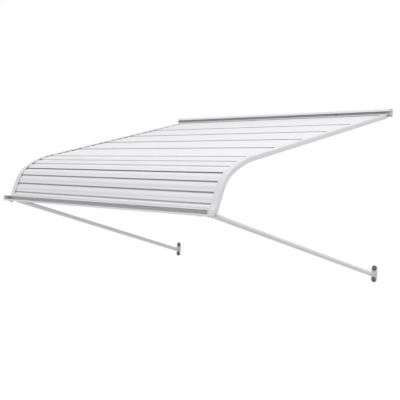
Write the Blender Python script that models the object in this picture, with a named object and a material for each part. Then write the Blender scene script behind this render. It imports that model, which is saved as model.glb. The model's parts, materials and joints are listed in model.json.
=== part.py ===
"""Aluminum door canopy.

A fixed awning for the wall above a door. Roll-formed roof pans and front slats hook
into one another along their long edges, and their ends slide into two side rails that
are bent from the roof slope down to the front. A header rail carries the top edge on
the wall, a bar with an open channel finishes the front, and two tubular support arms
hinge on the rail feet and end in small wall feet.

Frame: the origin is the middle of the header's back face, on the wall plane. +X is the
canopy's right as seen from in front, -Y points out from the wall, +Z is up. Metres.

The roof and the front share one profile curve. Places on it are given as s, the length
along the curve from the wall, and n, the height over the roof face, outwards positive.
"""

import math

import bmesh
import bpy
from mathutils import Matrix

# Running gap between pieces that touch
GAP = 0.0003

# Roof profile: where it meets the wall plane, its slope, and the bends towards the front
ROOF_START_Z = -0.0065
ROOF_SLOPE = math.radians(16.2)
ROOF_RUN = 0.914
EAVE_RADIUS = 0.330
EAVE_TURN = math.radians(23.0)
SHOULDER_RADIUS = 0.127
SHOULDER_TURN = math.radians(30.0)
FRONT_RADIUS = 1.000
FRONT_TURN = math.radians(3.6)
BEND_STEP = math.radians(2.5)

# Pans and slats: one flat is the roll former's pitch
PITCH = 0.0421
ROOF_PANS = (5, 4, 4, 4, 4)
EAVE_PAN_SHARES = (0.75, 0.75)
FRONT_SLATS = 5
LAST_SLAT_SHARE = 0.65
SHEET = 0.0009
SEAM_LAP = 0.010
SEAM_REVEAL = 0.0055
SEAM_STEP = 0.0018
BEAD_HEIGHT = 0.0016
BEAD_FOOT_SHARE = 0.42
BEAD_TOP_SHARE = 0.24
GROOVE_DEPTH = 0.0012
GROOVE_WIDTH = 0.004
TOP_HEM = 0.012

# Side rails
RAIL_HALF_SPAN = 0.6575
RAIL_WALL = 0.0016
RAIL_FLANGE = 0.028
RAIL_DEPTH = 0.018
RAIL_SHELF = 0.020
RAIL_LIP = 0.008
RAIL_EDGE = 0.001
RAIL_FOOT = 0.024
FOOT_NOTCH = 0.002

# Header rail on the wall
HEADER_OVERHANG = 0.014
HEADER_DEPTH = 0.019
HEADER_TOP = 0.0155
HEADER_BASE = -0.019
HEADER_WALL = 0.0018
FASCIA_BASE = 0.0055
GUTTER_FLOOR = -0.0064
UPSTAND_OUT = 0.0115
UPSTAND_HEIGHT = 0.004
CAP_THICKNESS = 0.0016
CAP_MARGIN = 0.001
CAP_BOSS = 0.008
WALL_HOLE_RADIUS = 0.0028
WALL_HOLE_Z = -0.0005
WALL_HOLE_EDGE = 0.0415
WALL_HOLES = 6

# Front bar, its plugs and its straps
BAR_OVERHANG = 0.0015
BAR_HEIGHT = 0.0245
BAR_DEPTH = 0.0325
BAR_WALL = 0.0016
BAR_LAP = 0.0042
BAR_TOP_LIP = 0.0022
BAR_BASE_LIP = 0.007
PLUG_THICKNESS = 0.0018
PLUG_BOSS = 0.008
STRAP_INSET = 0.0505
STRAP_WIDTH = 0.006
STRAP_THICKNESS = 0.0012
STRAP_TONGUE = 0.012

# Support arms
ARM_INSET = 0.0285
ARM_RADIUS = 0.0095
ARM_WALL = 0.0012
PIVOT_DROP = 0.0105
PIVOT_DEPTH = 0.0065
FOOT_PIN_OUT = 0.027
FOOT_PIN_Z = -0.709
TONGUE_THICKNESS = 0.0064
TONGUE_RADIUS = 0.0065
END_COLLAR = 0.002
END_REACH = 0.018
END_PLUG = 0.020

# Bolts, nuts and screws
BOLT_RADIUS = 0.003
BOLT_HEAD_RADIUS = 0.0055
BOLT_HEAD = 0.003
SPACER_RADIUS = 0.0055
WASHER_RADIUS = 0.006
WASHER_THICKNESS = 0.0012
NUT_RADIUS = 0.0058
NUT_THICKNESS = 0.0045
BOLT_END = 0.0015
SCREW_RADIUS = 0.0021
SCREW_HEAD_RADIUS = 0.0042
SCREW_HEAD = 0.0024
SCREW_REACH = 0.0026

# Corner keys that join the side rails to the header
KEY_THICKNESS = 0.002
KEY_LENGTH = 0.060
KEY_TAB = 0.030
KEY_TAB_DEPTH = 0.014
RIVET_RADIUS = 0.002
RIVET_HEAD_RADIUS = 0.0038
RIVET_HEAD = 0.001
RIVET_PLACE = 0.045

# Wall feet
FOOT_WIDTH = 0.030
FOOT_HEIGHT = 0.075
FOOT_PLATE = 0.003
EAR_THICKNESS = 0.0025
EAR_RADIUS = 0.009
PIN_RADIUS = 0.003
PIN_HEAD_RADIUS = 0.005
PIN_HEAD = 0.0018
FOOT_SCREW_SPREAD = 0.050
FOOT_WASHER_RADIUS = 0.011
FOOT_WASHER_THICKNESS = 0.002
FOOT_SCREW_HEAD_RADIUS = 0.0062
FOOT_SCREW_HEAD = 0.0035

# Flat tops of the turned heads and a rivet's inner end, as shares of the head's radius
SCREW_CROWN = 0.6
PIN_CROWN = 0.7
RIVET_TAIL = 0.8

# Sides of the round and six-sided outlines, and where shading breaks
ROUND = 24
SMALL_ROUND = 16
HEX = 6
SHARP_ANGLE = math.radians(30)

# Heights over the roof face that the seams and the rails share
LAYER = SHEET + GAP
SEAM_BASE = -(3 * LAYER + SHEET)
FLANGE_FACE = BEAD_HEIGHT + GAP + RAIL_WALL
SHELF_FACE = SEAM_BASE - GAP
RAIL_BASE = FLANGE_FACE - RAIL_DEPTH

# Places across the width that follow from where the rails stand
WEB_INSIDE = RAIL_HALF_SPAN - RAIL_WALL
HEADER_HALF = RAIL_HALF_SPAN + HEADER_OVERHANG
BAR_HALF = RAIL_HALF_SPAN + BAR_OVERHANG
STRAP_PLACE = RAIL_HALF_SPAN - STRAP_INSET
ARM_PLACE = RAIL_HALF_SPAN - ARM_INSET

# The runs of the profile after one another: length and turn
PROFILE = (
    (ROOF_RUN, 0.0),
    (EAVE_RADIUS * EAVE_TURN, EAVE_TURN),
    (SHOULDER_RADIUS * SHOULDER_TURN, SHOULDER_TURN),
    (FRONT_RADIUS * FRONT_TURN, FRONT_TURN),
    (1.0, 0.0),
)


def clear_scene():
    """Remove whatever the opened file holds."""
    for thing in list(bpy.data.objects):
        bpy.data.objects.remove(thing, do_unlink=True)


def make_material(name, color, roughness, metallic):
    """A plain Principled finish."""
    material = bpy.data.materials.new(name)
    material.use_nodes = True
    shader = material.node_tree.nodes["Principled BSDF"]
    shader.inputs["Base Color"].default_value = (*color, 1.0)
    shader.inputs["Roughness"].default_value = roughness
    shader.inputs["Metallic"].default_value = metallic
    return material


def profile_frame(s):
    """The profile's point and slope angle at length s from the wall."""
    y, z, angle = 0.0, ROOF_START_Z, ROOF_SLOPE
    for length, turn in PROFILE:
        step = min(s, length)
        if turn:
            radius = length / turn
            swing = step / radius
            y -= radius * (math.sin(angle + swing) - math.sin(angle))
            z += radius * (math.cos(angle + swing) - math.cos(angle))
            angle += swing
        else:
            y -= step * math.cos(angle)
            z -= step * math.sin(angle)
        s -= step
        if s == 0.0:
            break
    return y, z, angle


def on_profile(s, n=0.0):
    """The place (y, z) at length s along the profile and height n over it."""
    y, z, angle = profile_frame(s)
    return y - n * math.sin(angle), z + n * math.cos(angle)


def bend_marks():
    """Lengths along the profile where its bends are divided into facets."""
    marks = []
    start = 0.0
    for length, turn in PROFILE:
        if turn:
            parts = max(1, math.ceil(turn / BEND_STEP))
            marks += [start + length * i / parts for i in range(parts + 1)]
        start += length
    return marks


MARKS = bend_marks()


def marks_between(a, b):
    """The bend marks strictly between two lengths, in the order from a to b."""
    inside = [m for m in MARKS if min(a, b) + 1e-6 < m < max(a, b) - 1e-6]
    return inside if a < b else inside[::-1]


def follow_profile(outline):
    """Turn an outline in (s, n) into one in (y, z) that bends with the profile."""
    placed = []
    for (s0, n0), (s1, n1) in zip(outline, outline[1:] + outline[:1]):
        placed.append(on_profile(s0, n0))
        for mark in marks_between(s0, s1):
            share = (mark - s0) / (s1 - s0)
            placed.append(on_profile(mark, n0 + share * (n1 - n0)))
    return placed


def thicken(line, thickness):
    """The closed outline of a sheet whose middle follows a line with mitred corners."""
    half = thickness / 2
    sides = ([], [])
    for i, (x, y) in enumerate(line):
        before = line[max(i - 1, 0)]
        after = line[min(i + 1, len(line) - 1)]
        if i == 0:
            before = (2 * x - after[0], 2 * y - after[1])
        if i == len(line) - 1:
            after = (2 * x - before[0], 2 * y - before[1])
        into = unit(x - before[0], y - before[1])
        away = unit(after[0] - x, after[1] - y)
        across = unit(-into[1] - away[1], into[0] + away[0])
        stretch = half / (across[0] * -into[1] + across[1] * into[0])
        sides[0].append((x + across[0] * stretch, y + across[1] * stretch))
        sides[1].append((x - across[0] * stretch, y - across[1] * stretch))
    return sides[0] + sides[1][::-1]


def unit(x, y):
    """The direction (x, y) at length one."""
    size = math.hypot(x, y)
    return x / size, y / size


def circle(radius, sides, centre=(0.0, 0.0), turn=0.0):
    """The corners of a regular outline."""
    return [
        (
            centre[0] + radius * math.cos(turn + math.tau * i / sides),
            centre[1] + radius * math.sin(turn + math.tau * i / sides),
        )
        for i in range(sides)
    ]


def rectangle(a0, a1, b0, b1):
    """The four corners of an upright rectangle."""
    return [(a0, b0), (a1, b0), (a1, b1), (a0, b1)]


def stadium(half_length, radius, sides):
    """An outline with two round ends, long in its second direction."""
    straight = half_length - radius
    turns = [math.pi * i / sides for i in range(sides + 1)]
    top = [(radius * math.cos(turn), straight + radius * math.sin(turn)) for turn in turns]
    return top + [(-a, -b) for a, b in top]


def round_nose(radius, sides):
    """Half a circle's corners, bulging towards the negative first direction."""
    turns = [math.pi * i / sides for i in range(sides + 1)]
    return [(-radius * math.sin(turn), radius * math.cos(turn)) for turn in turns]


def prism(outline, x0, x1):
    """A straight solid: an outline in (y, z) carried from x0 to x1."""
    mesh = bmesh.new()
    ends = [[mesh.verts.new((x, y, z)) for y, z in outline] for x in (x0, x1)]
    mesh.faces.new(ends[0])
    mesh.faces.new(ends[1][::-1])
    for i in range(len(outline)):
        j = (i + 1) % len(outline)
        mesh.faces.new((ends[0][i], ends[1][i], ends[1][j], ends[0][j]))
    bmesh.ops.recalc_face_normals(mesh, faces=mesh.faces)
    return mesh


def turned(profile, sides):
    """A turned solid about X: (x, radius) pairs between two points on the axis."""
    mesh = bmesh.new()
    first = mesh.verts.new((profile[0][0], 0.0, 0.0))
    last = mesh.verts.new((profile[-1][0], 0.0, 0.0))
    rings = [
        [mesh.verts.new((x, y, z)) for y, z in circle(radius, sides)] for x, radius in profile[1:-1]
    ]
    for i in range(sides):
        j = (i + 1) % sides
        mesh.faces.new((first, rings[0][i], rings[0][j]))
        mesh.faces.new((last, rings[-1][j], rings[-1][i]))
        for low, high in zip(rings, rings[1:]):
            mesh.faces.new((low[i], high[i], high[j], low[j]))
    bmesh.ops.recalc_face_normals(mesh, faces=mesh.faces)
    return mesh


def tube(outer, inner, x0, x1, sides):
    """A straight tube about X, open at both ends."""
    mesh = bmesh.new()
    loops = [
        [mesh.verts.new((x, y, z)) for y, z in circle(radius, sides)]
        for radius, x in ((outer, x0), (outer, x1), (inner, x1), (inner, x0))
    ]
    for low, high in zip(loops, loops[1:] + loops[:1]):
        for i in range(sides):
            j = (i + 1) % sides
            mesh.faces.new((low[i], high[i], high[j], low[j]))
    bmesh.ops.recalc_face_normals(mesh, faces=mesh.faces)
    return mesh


def sweep(section, stations):
    """A rail: a section in (x, n) carried along places that a function gives for each n."""
    mesh = bmesh.new()
    rings = [
        [mesh.verts.new((x, *place(n))) for x, n in section] for place in stations
    ]
    mesh.faces.new(rings[0])
    mesh.faces.new(rings[-1][::-1])
    for low, high in zip(rings, rings[1:]):
        for i in range(len(section)):
            j = (i + 1) % len(section)
            mesh.faces.new((low[i], high[i], high[j], low[j]))
    bmesh.ops.recalc_face_normals(mesh, faces=mesh.faces)
    return mesh


def moved(mesh, matrix):
    """The same mesh carried by a matrix."""
    bmesh.ops.transform(mesh, matrix=matrix, verts=mesh.verts)
    return mesh


def add_piece(name, mesh, material, smooth=False, location=(0.0, 0.0, 0.0), tilt=0.0):
    """Make one named object from a mesh."""
    data = bpy.data.meshes.new(name)
    mesh.to_mesh(data)
    mesh.free()
    data.materials.append(material)
    if smooth:
        data.shade_smooth()
        data.set_sharp_from_angle(angle=SHARP_ANGLE)
    piece = bpy.data.objects.new(name, data)
    piece.location = location
    piece.rotation_euler = (tilt, 0.0, 0.0)
    bpy.context.scene.collection.objects.link(piece)
    return piece


def combine(piece, tool_mesh, operation):
    """Join a helper to a piece or cut it out, with a Boolean that stays on the piece."""
    helper = add_piece(f"{piece.name}_helper", tool_mesh, piece.data.materials[0])
    helper.parent = piece
    helper.hide_render = True
    helper.display_type = "WIRE"
    modifier = piece.modifiers.new(operation.title(), "BOOLEAN")
    modifier.operation = operation
    modifier.object = helper


def bored(piece, radius, x0, x1, centre, sides=SMALL_ROUND):
    """Drill a hole along X through a piece."""
    combine(piece, prism(circle(radius, sides, centre), x0, x1), "DIFFERENCE")


def flat_line(start, widths, drop):
    """A pan's face, which rises by the drop before its nose: middle-line points, and its end."""
    end = start + PITCH * sum(widths)
    level = end - SEAM_LAP - 3 * LAYER
    rise = drop / (level - start)
    points = []
    for i, width in enumerate(widths):
        reach = width * PITCH
        middle = start + reach / 2
        foot = reach * BEAD_FOOT_SHARE / 2
        top = reach * BEAD_TOP_SHARE / 2
        if i:
            points += [
                (start - GROOVE_WIDTH / 2, 0.0),
                (start, -GROOVE_DEPTH),
                (start + GROOVE_WIDTH / 2, 0.0),
            ]
        points += [
            (middle - foot, 0.0),
            (middle - top, BEAD_HEIGHT),
            (middle + top, BEAD_HEIGHT),
            (middle + foot, 0.0),
        ]
        start += reach
    return [(s, n - SHEET / 2 - max(0.0, level - s) * rise) for s, n in points], end


def hook_line(a):
    """The upper edge of a pan, which grips the return of the pan above at length a."""
    half = SHEET / 2
    back = a - SEAM_LAP - GAP - half
    return [
        (a - SHEET - GAP, -LAYER - half),
        (back, -LAYER - half),
        (back, -3 * LAYER - half),
        (a + SEAM_REVEAL + half, -3 * LAYER - half),
        (a + SEAM_REVEAL + half, -SEAM_STEP - half),
    ]


def return_line(b):
    """The lower edge of a pan: a nose and a return that the next pan grips."""
    half = SHEET / 2
    return [(b - half, -half), (b - half, -2 * LAYER - half), (b - SEAM_LAP, -2 * LAYER - half)]


def header_line(a):
    """The upper edge of the first pan: a leg that hooks behind the header's upstand."""
    half = SHEET / 2
    start = a - TOP_HEM
    y, z, angle = profile_frame(start)
    leg = (z - (HEADER_BASE + HEADER_WALL + GAP)) / math.cos(angle) - SHEET * math.tan(angle)
    return [(start, -leg), (start, -half)]


def panel_plan():
    """Each pan and slat from the wall outwards: its name and the widths of its flats."""
    plan = [(f"roof_pan_{i + 1}", (1.0,) * flats) for i, flats in enumerate(ROOF_PANS)]
    plan.append(("eave_pan", EAVE_PAN_SHARES))
    plan += [(f"front_slat_{i + 1}", (1.0,)) for i in range(FRONT_SLATS)]
    plan.append((f"front_slat_{FRONT_SLATS + 1}", (LAST_SLAT_SHARE,)))
    return plan


# Lengths along the profile that the rails, the bar and the pivots share
ROOF_TOP_S = HEADER_DEPTH / math.cos(ROOF_SLOPE)
PANEL_END_S = ROOF_TOP_S + PITCH * sum(sum(widths) for _, widths in panel_plan())
RAIL_TOP_S = (HEADER_DEPTH + GAP) / math.cos(ROOF_SLOPE)
RAIL_END_S = PANEL_END_S + RAIL_FOOT
FRONT_ANGLE = profile_frame(PANEL_END_S)[2]
BAR_TOP_S = PANEL_END_S - BAR_LAP
BAR_BASE_S = BAR_TOP_S + BAR_HEIGHT / math.sin(FRONT_ANGLE)
BAR_BACK_N = FLANGE_FACE + GAP
PIVOT_S = PANEL_END_S + PIVOT_DROP
PIVOT_Y, PIVOT_Z = on_profile(PIVOT_S, -PIVOT_DEPTH)
ARM_TILT = math.atan2(FOOT_PIN_Z - PIVOT_Z, -FOOT_PIN_OUT - PIVOT_Y)
ARM_LENGTH = math.hypot(FOOT_PIN_Z - PIVOT_Z, -FOOT_PIN_OUT - PIVOT_Y)
BORE = BOLT_RADIUS + GAP


def make_panels(material):
    """Roof pans, the eave pan and the front slats, hooked into one another."""
    half_length = WEB_INSIDE - GAP
    start = ROOF_TOP_S
    for i, (name, widths) in enumerate(panel_plan()):
        upper = hook_line(start) if i else header_line(start)
        face, end = flat_line(start, widths, SEAM_STEP if i else 0.0)
        outline = thicken(upper + face + return_line(end), SHEET)
        add_piece(name, prism(follow_profile(outline), -half_length, half_length), material)
        start = end


def rail_section(sign):
    """The side rail's section: flange, web, the shelf under the pans, and a lip."""
    outer = RAIL_HALF_SPAN
    points = [
        (outer, FLANGE_FACE - RAIL_EDGE),
        (outer - RAIL_EDGE, FLANGE_FACE),
        (outer - RAIL_FLANGE, FLANGE_FACE),
        (outer - RAIL_FLANGE, FLANGE_FACE - RAIL_WALL),
        (WEB_INSIDE, FLANGE_FACE - RAIL_WALL),
        (WEB_INSIDE, SHELF_FACE),
        (outer - RAIL_SHELF, SHELF_FACE),
        (outer - RAIL_SHELF, SHELF_FACE - RAIL_WALL),
        (WEB_INSIDE, SHELF_FACE - RAIL_WALL),
        (WEB_INSIDE, RAIL_BASE + RAIL_WALL),
        (outer - RAIL_LIP, RAIL_BASE + RAIL_WALL),
        (outer - RAIL_LIP, RAIL_BASE),
        (outer - RAIL_EDGE, RAIL_BASE),
        (outer, RAIL_BASE + RAIL_EDGE),
    ]
    return [(sign * x, n) for x, n in points]


def rail_stations():
    """Places along a side rail, the first cut upright to stand against the header."""

    def upright(n):
        return on_profile(RAIL_TOP_S - n * math.tan(ROOF_SLOPE), n)

    def square(s):
        return lambda n: on_profile(s, n)

    along = marks_between(RAIL_TOP_S, RAIL_END_S) + [RAIL_END_S]
    return [upright] + [square(s) for s in along]


def make_side_rail(side, sign, material):
    """One bent side rail with its foot notched for the arm bolt."""
    rail = add_piece(f"side_rail_{side}", sweep(rail_section(sign), rail_stations()), material)
    notch = [
        (PANEL_END_S + FOOT_NOTCH, SHELF_FACE + RAIL_WALL),
        (RAIL_END_S + FOOT_NOTCH, SHELF_FACE + RAIL_WALL),
        (RAIL_END_S + FOOT_NOTCH, SHELF_FACE - 2 * RAIL_WALL),
        (PANEL_END_S + FOOT_NOTCH, SHELF_FACE - 2 * RAIL_WALL),
    ]
    inner = RAIL_HALF_SPAN - RAIL_SHELF - RAIL_WALL
    combine(rail, prism(follow_profile(notch), sign * inner, sign * WEB_INSIDE), "DIFFERENCE")
    ends = (sign * (WEB_INSIDE - RAIL_WALL), sign * (RAIL_HALF_SPAN + RAIL_WALL))
    bored(rail, BORE, *ends, (PIVOT_Y, PIVOT_Z))
    bored(rail, RIVET_RADIUS + GAP, *ends, rivet_place())
    combine(rail, bar_drill(sign, FLANGE_FACE, -SCREW_REACH, BAR_WALL), "DIFFERENCE")


def bar_screw_x():
    """Where the bar's end screws stand, in the middle of the rail's flange."""
    return RAIL_HALF_SPAN - RAIL_FLANGE / 2


def bar_back(down, off=0.0):
    """How far out the bar's leaning back is at a depth under its top, and off square to it."""
    return down / math.tan(FRONT_ANGLE) + off / math.sin(FRONT_ANGLE)


def from_bar_top(outline):
    """Turn an outline in (out, down) from the bar's upper back edge into one in (y, z)."""
    y, z = on_profile(BAR_TOP_S, BAR_BACK_N)
    return [(y - out, z - down) for out, down in outline]


def bar_block(inset):
    """The space inside the bar's outline, inset from every side."""
    low, high = inset, BAR_HEIGHT - inset
    return from_bar_top(
        [
            (bar_back(low, inset), low),
            (BAR_DEPTH - inset, low),
            (BAR_DEPTH - inset, high),
            (bar_back(high, inset), high),
        ]
    )


def turned_along_n(profile, x, n):
    """A turned solid whose axis is square to the front, at the middle of the bar."""
    middle = (BAR_TOP_S + BAR_BASE_S) / 2
    y, z = on_profile(middle, n)
    angle = profile_frame(middle)[2]
    turn = Matrix.Rotation(angle, 4, "X") @ Matrix.Rotation(-math.pi / 2, 4, "Y")
    return moved(turned(profile, SMALL_ROUND), Matrix.Translation((x, y, z)) @ turn)


def bar_drill(sign, n, low, high):
    """The clearance hole of a bar's end screw, from low to high about the height n."""
    radius = SCREW_RADIUS + GAP
    profile = [(low, 0.0), (low, radius), (high, radius), (high, 0.0)]
    return turned_along_n(profile, sign * bar_screw_x(), n)


def make_header(material, cap_material):
    """The wall rail with its gutter groove, the pans' slot and two end caps."""
    depth, wall = HEADER_DEPTH, HEADER_WALL
    shelf = HEADER_BASE + wall
    slot_y = -depth + wall
    lip = ROOF_START_Z + slot_y * math.tan(ROOF_SLOPE) + GAP
    outline = [
        (0.0, HEADER_BASE),
        (-depth, HEADER_BASE),
        (-depth, shelf),
        (-UPSTAND_OUT, shelf),
        (-UPSTAND_OUT, shelf + UPSTAND_HEIGHT),
        (-UPSTAND_OUT + wall, shelf + UPSTAND_HEIGHT),
        (-UPSTAND_OUT + wall, shelf),
        (-wall, shelf),
        (-wall, GUTTER_FLOOR - wall),
        (slot_y, GUTTER_FLOOR - wall),
        (slot_y, lip),
        (-depth, lip),
        (-depth, GUTTER_FLOOR),
        (-wall, GUTTER_FLOOR),
        (-wall, HEADER_TOP - wall),
        (slot_y, HEADER_TOP - wall),
        (slot_y, FASCIA_BASE),
        (-depth, FASCIA_BASE),
        (-depth, HEADER_TOP),
        (0.0, HEADER_TOP),
    ]
    header = add_piece("header_rail", prism(outline, -HEADER_HALF, HEADER_HALF), material)
    outermost = HEADER_HALF - WALL_HOLE_EDGE
    for i in range(WALL_HOLES):
        x = outermost * (2 * i / (WALL_HOLES - 1) - 1)
        drill = prism(circle(WALL_HOLE_RADIUS, SMALL_ROUND), -depth / 2, depth / 2)
        spot = Matrix.Translation((x, 0.0, WALL_HOLE_Z)) @ Matrix.Rotation(math.pi / 2, 4, "Z")
        combine(header, moved(drill, spot), "DIFFERENCE")
    cavity = rectangle(slot_y + GAP, -wall - GAP, FASCIA_BASE + GAP, HEADER_TOP - wall - GAP)
    plate = [
        (0.0, HEADER_BASE - CAP_MARGIN),
        (-depth, HEADER_BASE - CAP_MARGIN),
        (-depth - CAP_MARGIN, HEADER_BASE),
        (-depth - CAP_MARGIN, HEADER_TOP),
        (-depth, HEADER_TOP + CAP_MARGIN),
        (0.0, HEADER_TOP + CAP_MARGIN),
    ]
    inside = HEADER_HALF + GAP
    for side, sign in (("left", -1), ("right", 1)):
        cap = add_piece(
            f"header_cap_{side}", prism(plate, sign * inside, sign * (inside + CAP_THICKNESS)), cap_material
        )
        boss = prism(cavity, sign * (inside - CAP_BOSS), sign * (inside + CAP_THICKNESS / 2))
        combine(cap, boss, "UNION")


def rivet_place():
    """Where the corner key is riveted to the rail's web."""
    channel = (SHELF_FACE + RAIL_BASE) / 2
    return on_profile(RIVET_PLACE, channel)


def make_corner_key(side, sign, material, rivet_material):
    """The angle that ties a rail's upper end to the header's base, with its fasteners."""
    under = HEADER_BASE - GAP
    high, low = SHELF_FACE - RAIL_WALL - GAP, RAIL_BASE + RAIL_WALL + GAP
    y_back = -HEADER_DEPTH + KEY_TAB_DEPTH
    corner_s = RAIL_TOP_S + RAIL_WALL
    leg = [
        (y_back, under),
        (on_profile(corner_s, high)[0], min(under, on_profile(corner_s, high)[1])),
        on_profile(KEY_LENGTH, high),
        on_profile(KEY_LENGTH, low),
        on_profile(corner_s, low),
        (y_back, under - KEY_THICKNESS),
    ]
    outside = WEB_INSIDE - GAP
    inside = outside - KEY_THICKNESS
    key = add_piece(f"corner_key_{side}", prism(leg, sign * inside, sign * outside), material)
    tab = rectangle(y_back, -HEADER_DEPTH + KEY_THICKNESS, under - KEY_THICKNESS, under)
    combine(key, prism(tab, sign * (outside - KEY_TAB), sign * (inside + KEY_THICKNESS / 2)), "UNION")
    place = rivet_place()
    bored(key, RIVET_RADIUS + GAP, sign * (inside - RIVET_HEAD), sign * (outside + RIVET_HEAD), place)
    outer = RAIL_HALF_SPAN + GAP
    inner = inside - GAP
    rivet = turned(
        [
            (inner - RIVET_HEAD, 0.0),
            (inner - RIVET_HEAD, RIVET_HEAD_RADIUS * PIN_CROWN),
            (inner, RIVET_HEAD_RADIUS * RIVET_TAIL),
            (inner, RIVET_RADIUS),
            (outer, RIVET_RADIUS),
            (outer, RIVET_HEAD_RADIUS),
            (outer + RIVET_HEAD, RIVET_HEAD_RADIUS * SCREW_CROWN),
            (outer + RIVET_HEAD, 0.0),
        ],
        SMALL_ROUND,
    )
    flip = Matrix.Scale(sign, 4, (1, 0, 0))
    add_piece(
        f"key_rivet_{side}", repaired(moved(rivet, flip)), rivet_material, True, (0.0, *place)
    )


def repaired(mesh):
    """A mirrored mesh with its faces pointing out again."""
    bmesh.ops.recalc_face_normals(mesh, faces=mesh.faces)
    return mesh


def make_front_bar(material, plug_material, strap_material, screw_material):
    """The open channel across the front, its plugs, straps and end screws."""
    wall, back = BAR_WALL, BAR_BACK_N
    mid, low = wall / 2, BAR_HEIGHT - wall / 2
    line = [
        (BAR_DEPTH - mid, BAR_TOP_LIP),
        (BAR_DEPTH - mid, mid),
        (bar_back(mid, mid), mid),
        (bar_back(low, mid), low),
        (BAR_DEPTH - mid, low),
        (BAR_DEPTH - mid, BAR_HEIGHT - BAR_BASE_LIP),
    ]
    bar = add_piece("front_bar", prism(from_bar_top(thicken(line, wall)), -BAR_HALF, BAR_HALF), material)
    inside = BAR_HALF + GAP
    for side, sign in (("left", -1), ("right", 1)):
        combine(bar, bar_drill(sign, back, -wall, 2 * wall), "DIFFERENCE")
        seat = wall + GAP
        tip = -BAR_BACK_N + FLANGE_FACE - RAIL_WALL - SCREW_REACH
        screw = turned_along_n(
            [
                (tip, 0.0),
                (tip + SCREW_RADIUS, SCREW_RADIUS),
                (seat, SCREW_RADIUS),
                (seat, SCREW_HEAD_RADIUS),
                (seat + SCREW_HEAD / 2, SCREW_HEAD_RADIUS),
                (seat + SCREW_HEAD, SCREW_HEAD_RADIUS * SCREW_CROWN),
                (seat + SCREW_HEAD, 0.0),
            ],
            sign * bar_screw_x(),
            back,
        )
        add_piece(f"bar_screw_{side}", screw, screw_material, True)
        plate = prism(bar_block(0.0), sign * inside, sign * (inside + PLUG_THICKNESS))
        plug = add_piece(f"bar_plug_{side}", plate, plug_material)
        boss_ends = (sign * (inside - PLUG_BOSS), sign * (inside + PLUG_THICKNESS / 2))
        combine(plug, prism(bar_block(wall + GAP), *boss_ends), "UNION")
        off = GAP + STRAP_THICKNESS / 2
        under = BAR_HEIGHT + off
        strap_line = [
            (STRAP_TONGUE, -off),
            (bar_back(-off, -off), -off),
            (bar_back(under, -off), under),
            (BAR_DEPTH + off, under),
            (BAR_DEPTH + off, BAR_HEIGHT - BAR_BASE_LIP),
        ]
        strap = from_bar_top(thicken(strap_line, STRAP_THICKNESS))
        middle, half = sign * STRAP_PLACE, STRAP_WIDTH / 2
        add_piece(f"bar_strap_{side}", prism(strap, middle - half, middle + half), strap_material)


def arm_end(bore):
    """An arm's end fitting about its pin: tongue, collar and the plug inside the tube."""
    half = TONGUE_THICKNESS / 2
    root = END_REACH - END_COLLAR / 2
    outline = round_nose(TONGUE_RADIUS, SMALL_ROUND) + [(root, -TONGUE_RADIUS), (root, TONGUE_RADIUS)]
    tongue = prism(outline, -half, half)
    collar_start = END_REACH - END_COLLAR
    plug_radius = ARM_RADIUS - ARM_WALL - GAP
    stem = turned(
        [
            (collar_start, 0.0),
            (collar_start, ARM_RADIUS),
            (END_REACH, ARM_RADIUS),
            (END_REACH, plug_radius),
            (END_REACH + END_PLUG, plug_radius),
            (END_REACH + END_PLUG, 0.0),
        ],
        ROUND,
    )
    hole = prism(circle(bore, SMALL_ROUND), -2 * half, 2 * half)
    return tongue, moved(stem, Matrix.Rotation(math.pi / 2, 4, "Z")), hole


def make_arm(side, sign, tube_material, end_material):
    """One support arm: a tube with an end fitting on each pin."""
    pivot = (sign * ARM_PLACE, PIVOT_Y, PIVOT_Z)
    run = tube(ARM_RADIUS, ARM_RADIUS - ARM_WALL, END_REACH + GAP, ARM_LENGTH - END_REACH - GAP, ROUND)
    run = moved(run, Matrix.Rotation(math.pi / 2, 4, "Z"))
    add_piece(f"arm_tube_{side}", run, tube_material, True, pivot, ARM_TILT)
    for end, bore, turn in (("front", BORE, 0.0), ("rear", PIN_RADIUS + GAP, math.pi)):
        tongue, stem, hole = arm_end(bore)
        place = Matrix.Translation((0.0, ARM_LENGTH if turn else 0.0, 0.0)) @ Matrix.Rotation(turn, 4, "Z")
        fitting = add_piece(
            f"arm_{end}_end_{side}", moved(tongue, place), end_material, False, pivot, ARM_TILT
        )
        combine(fitting, moved(stem, place), "UNION")
        combine(fitting, moved(hole, place), "DIFFERENCE")


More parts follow.
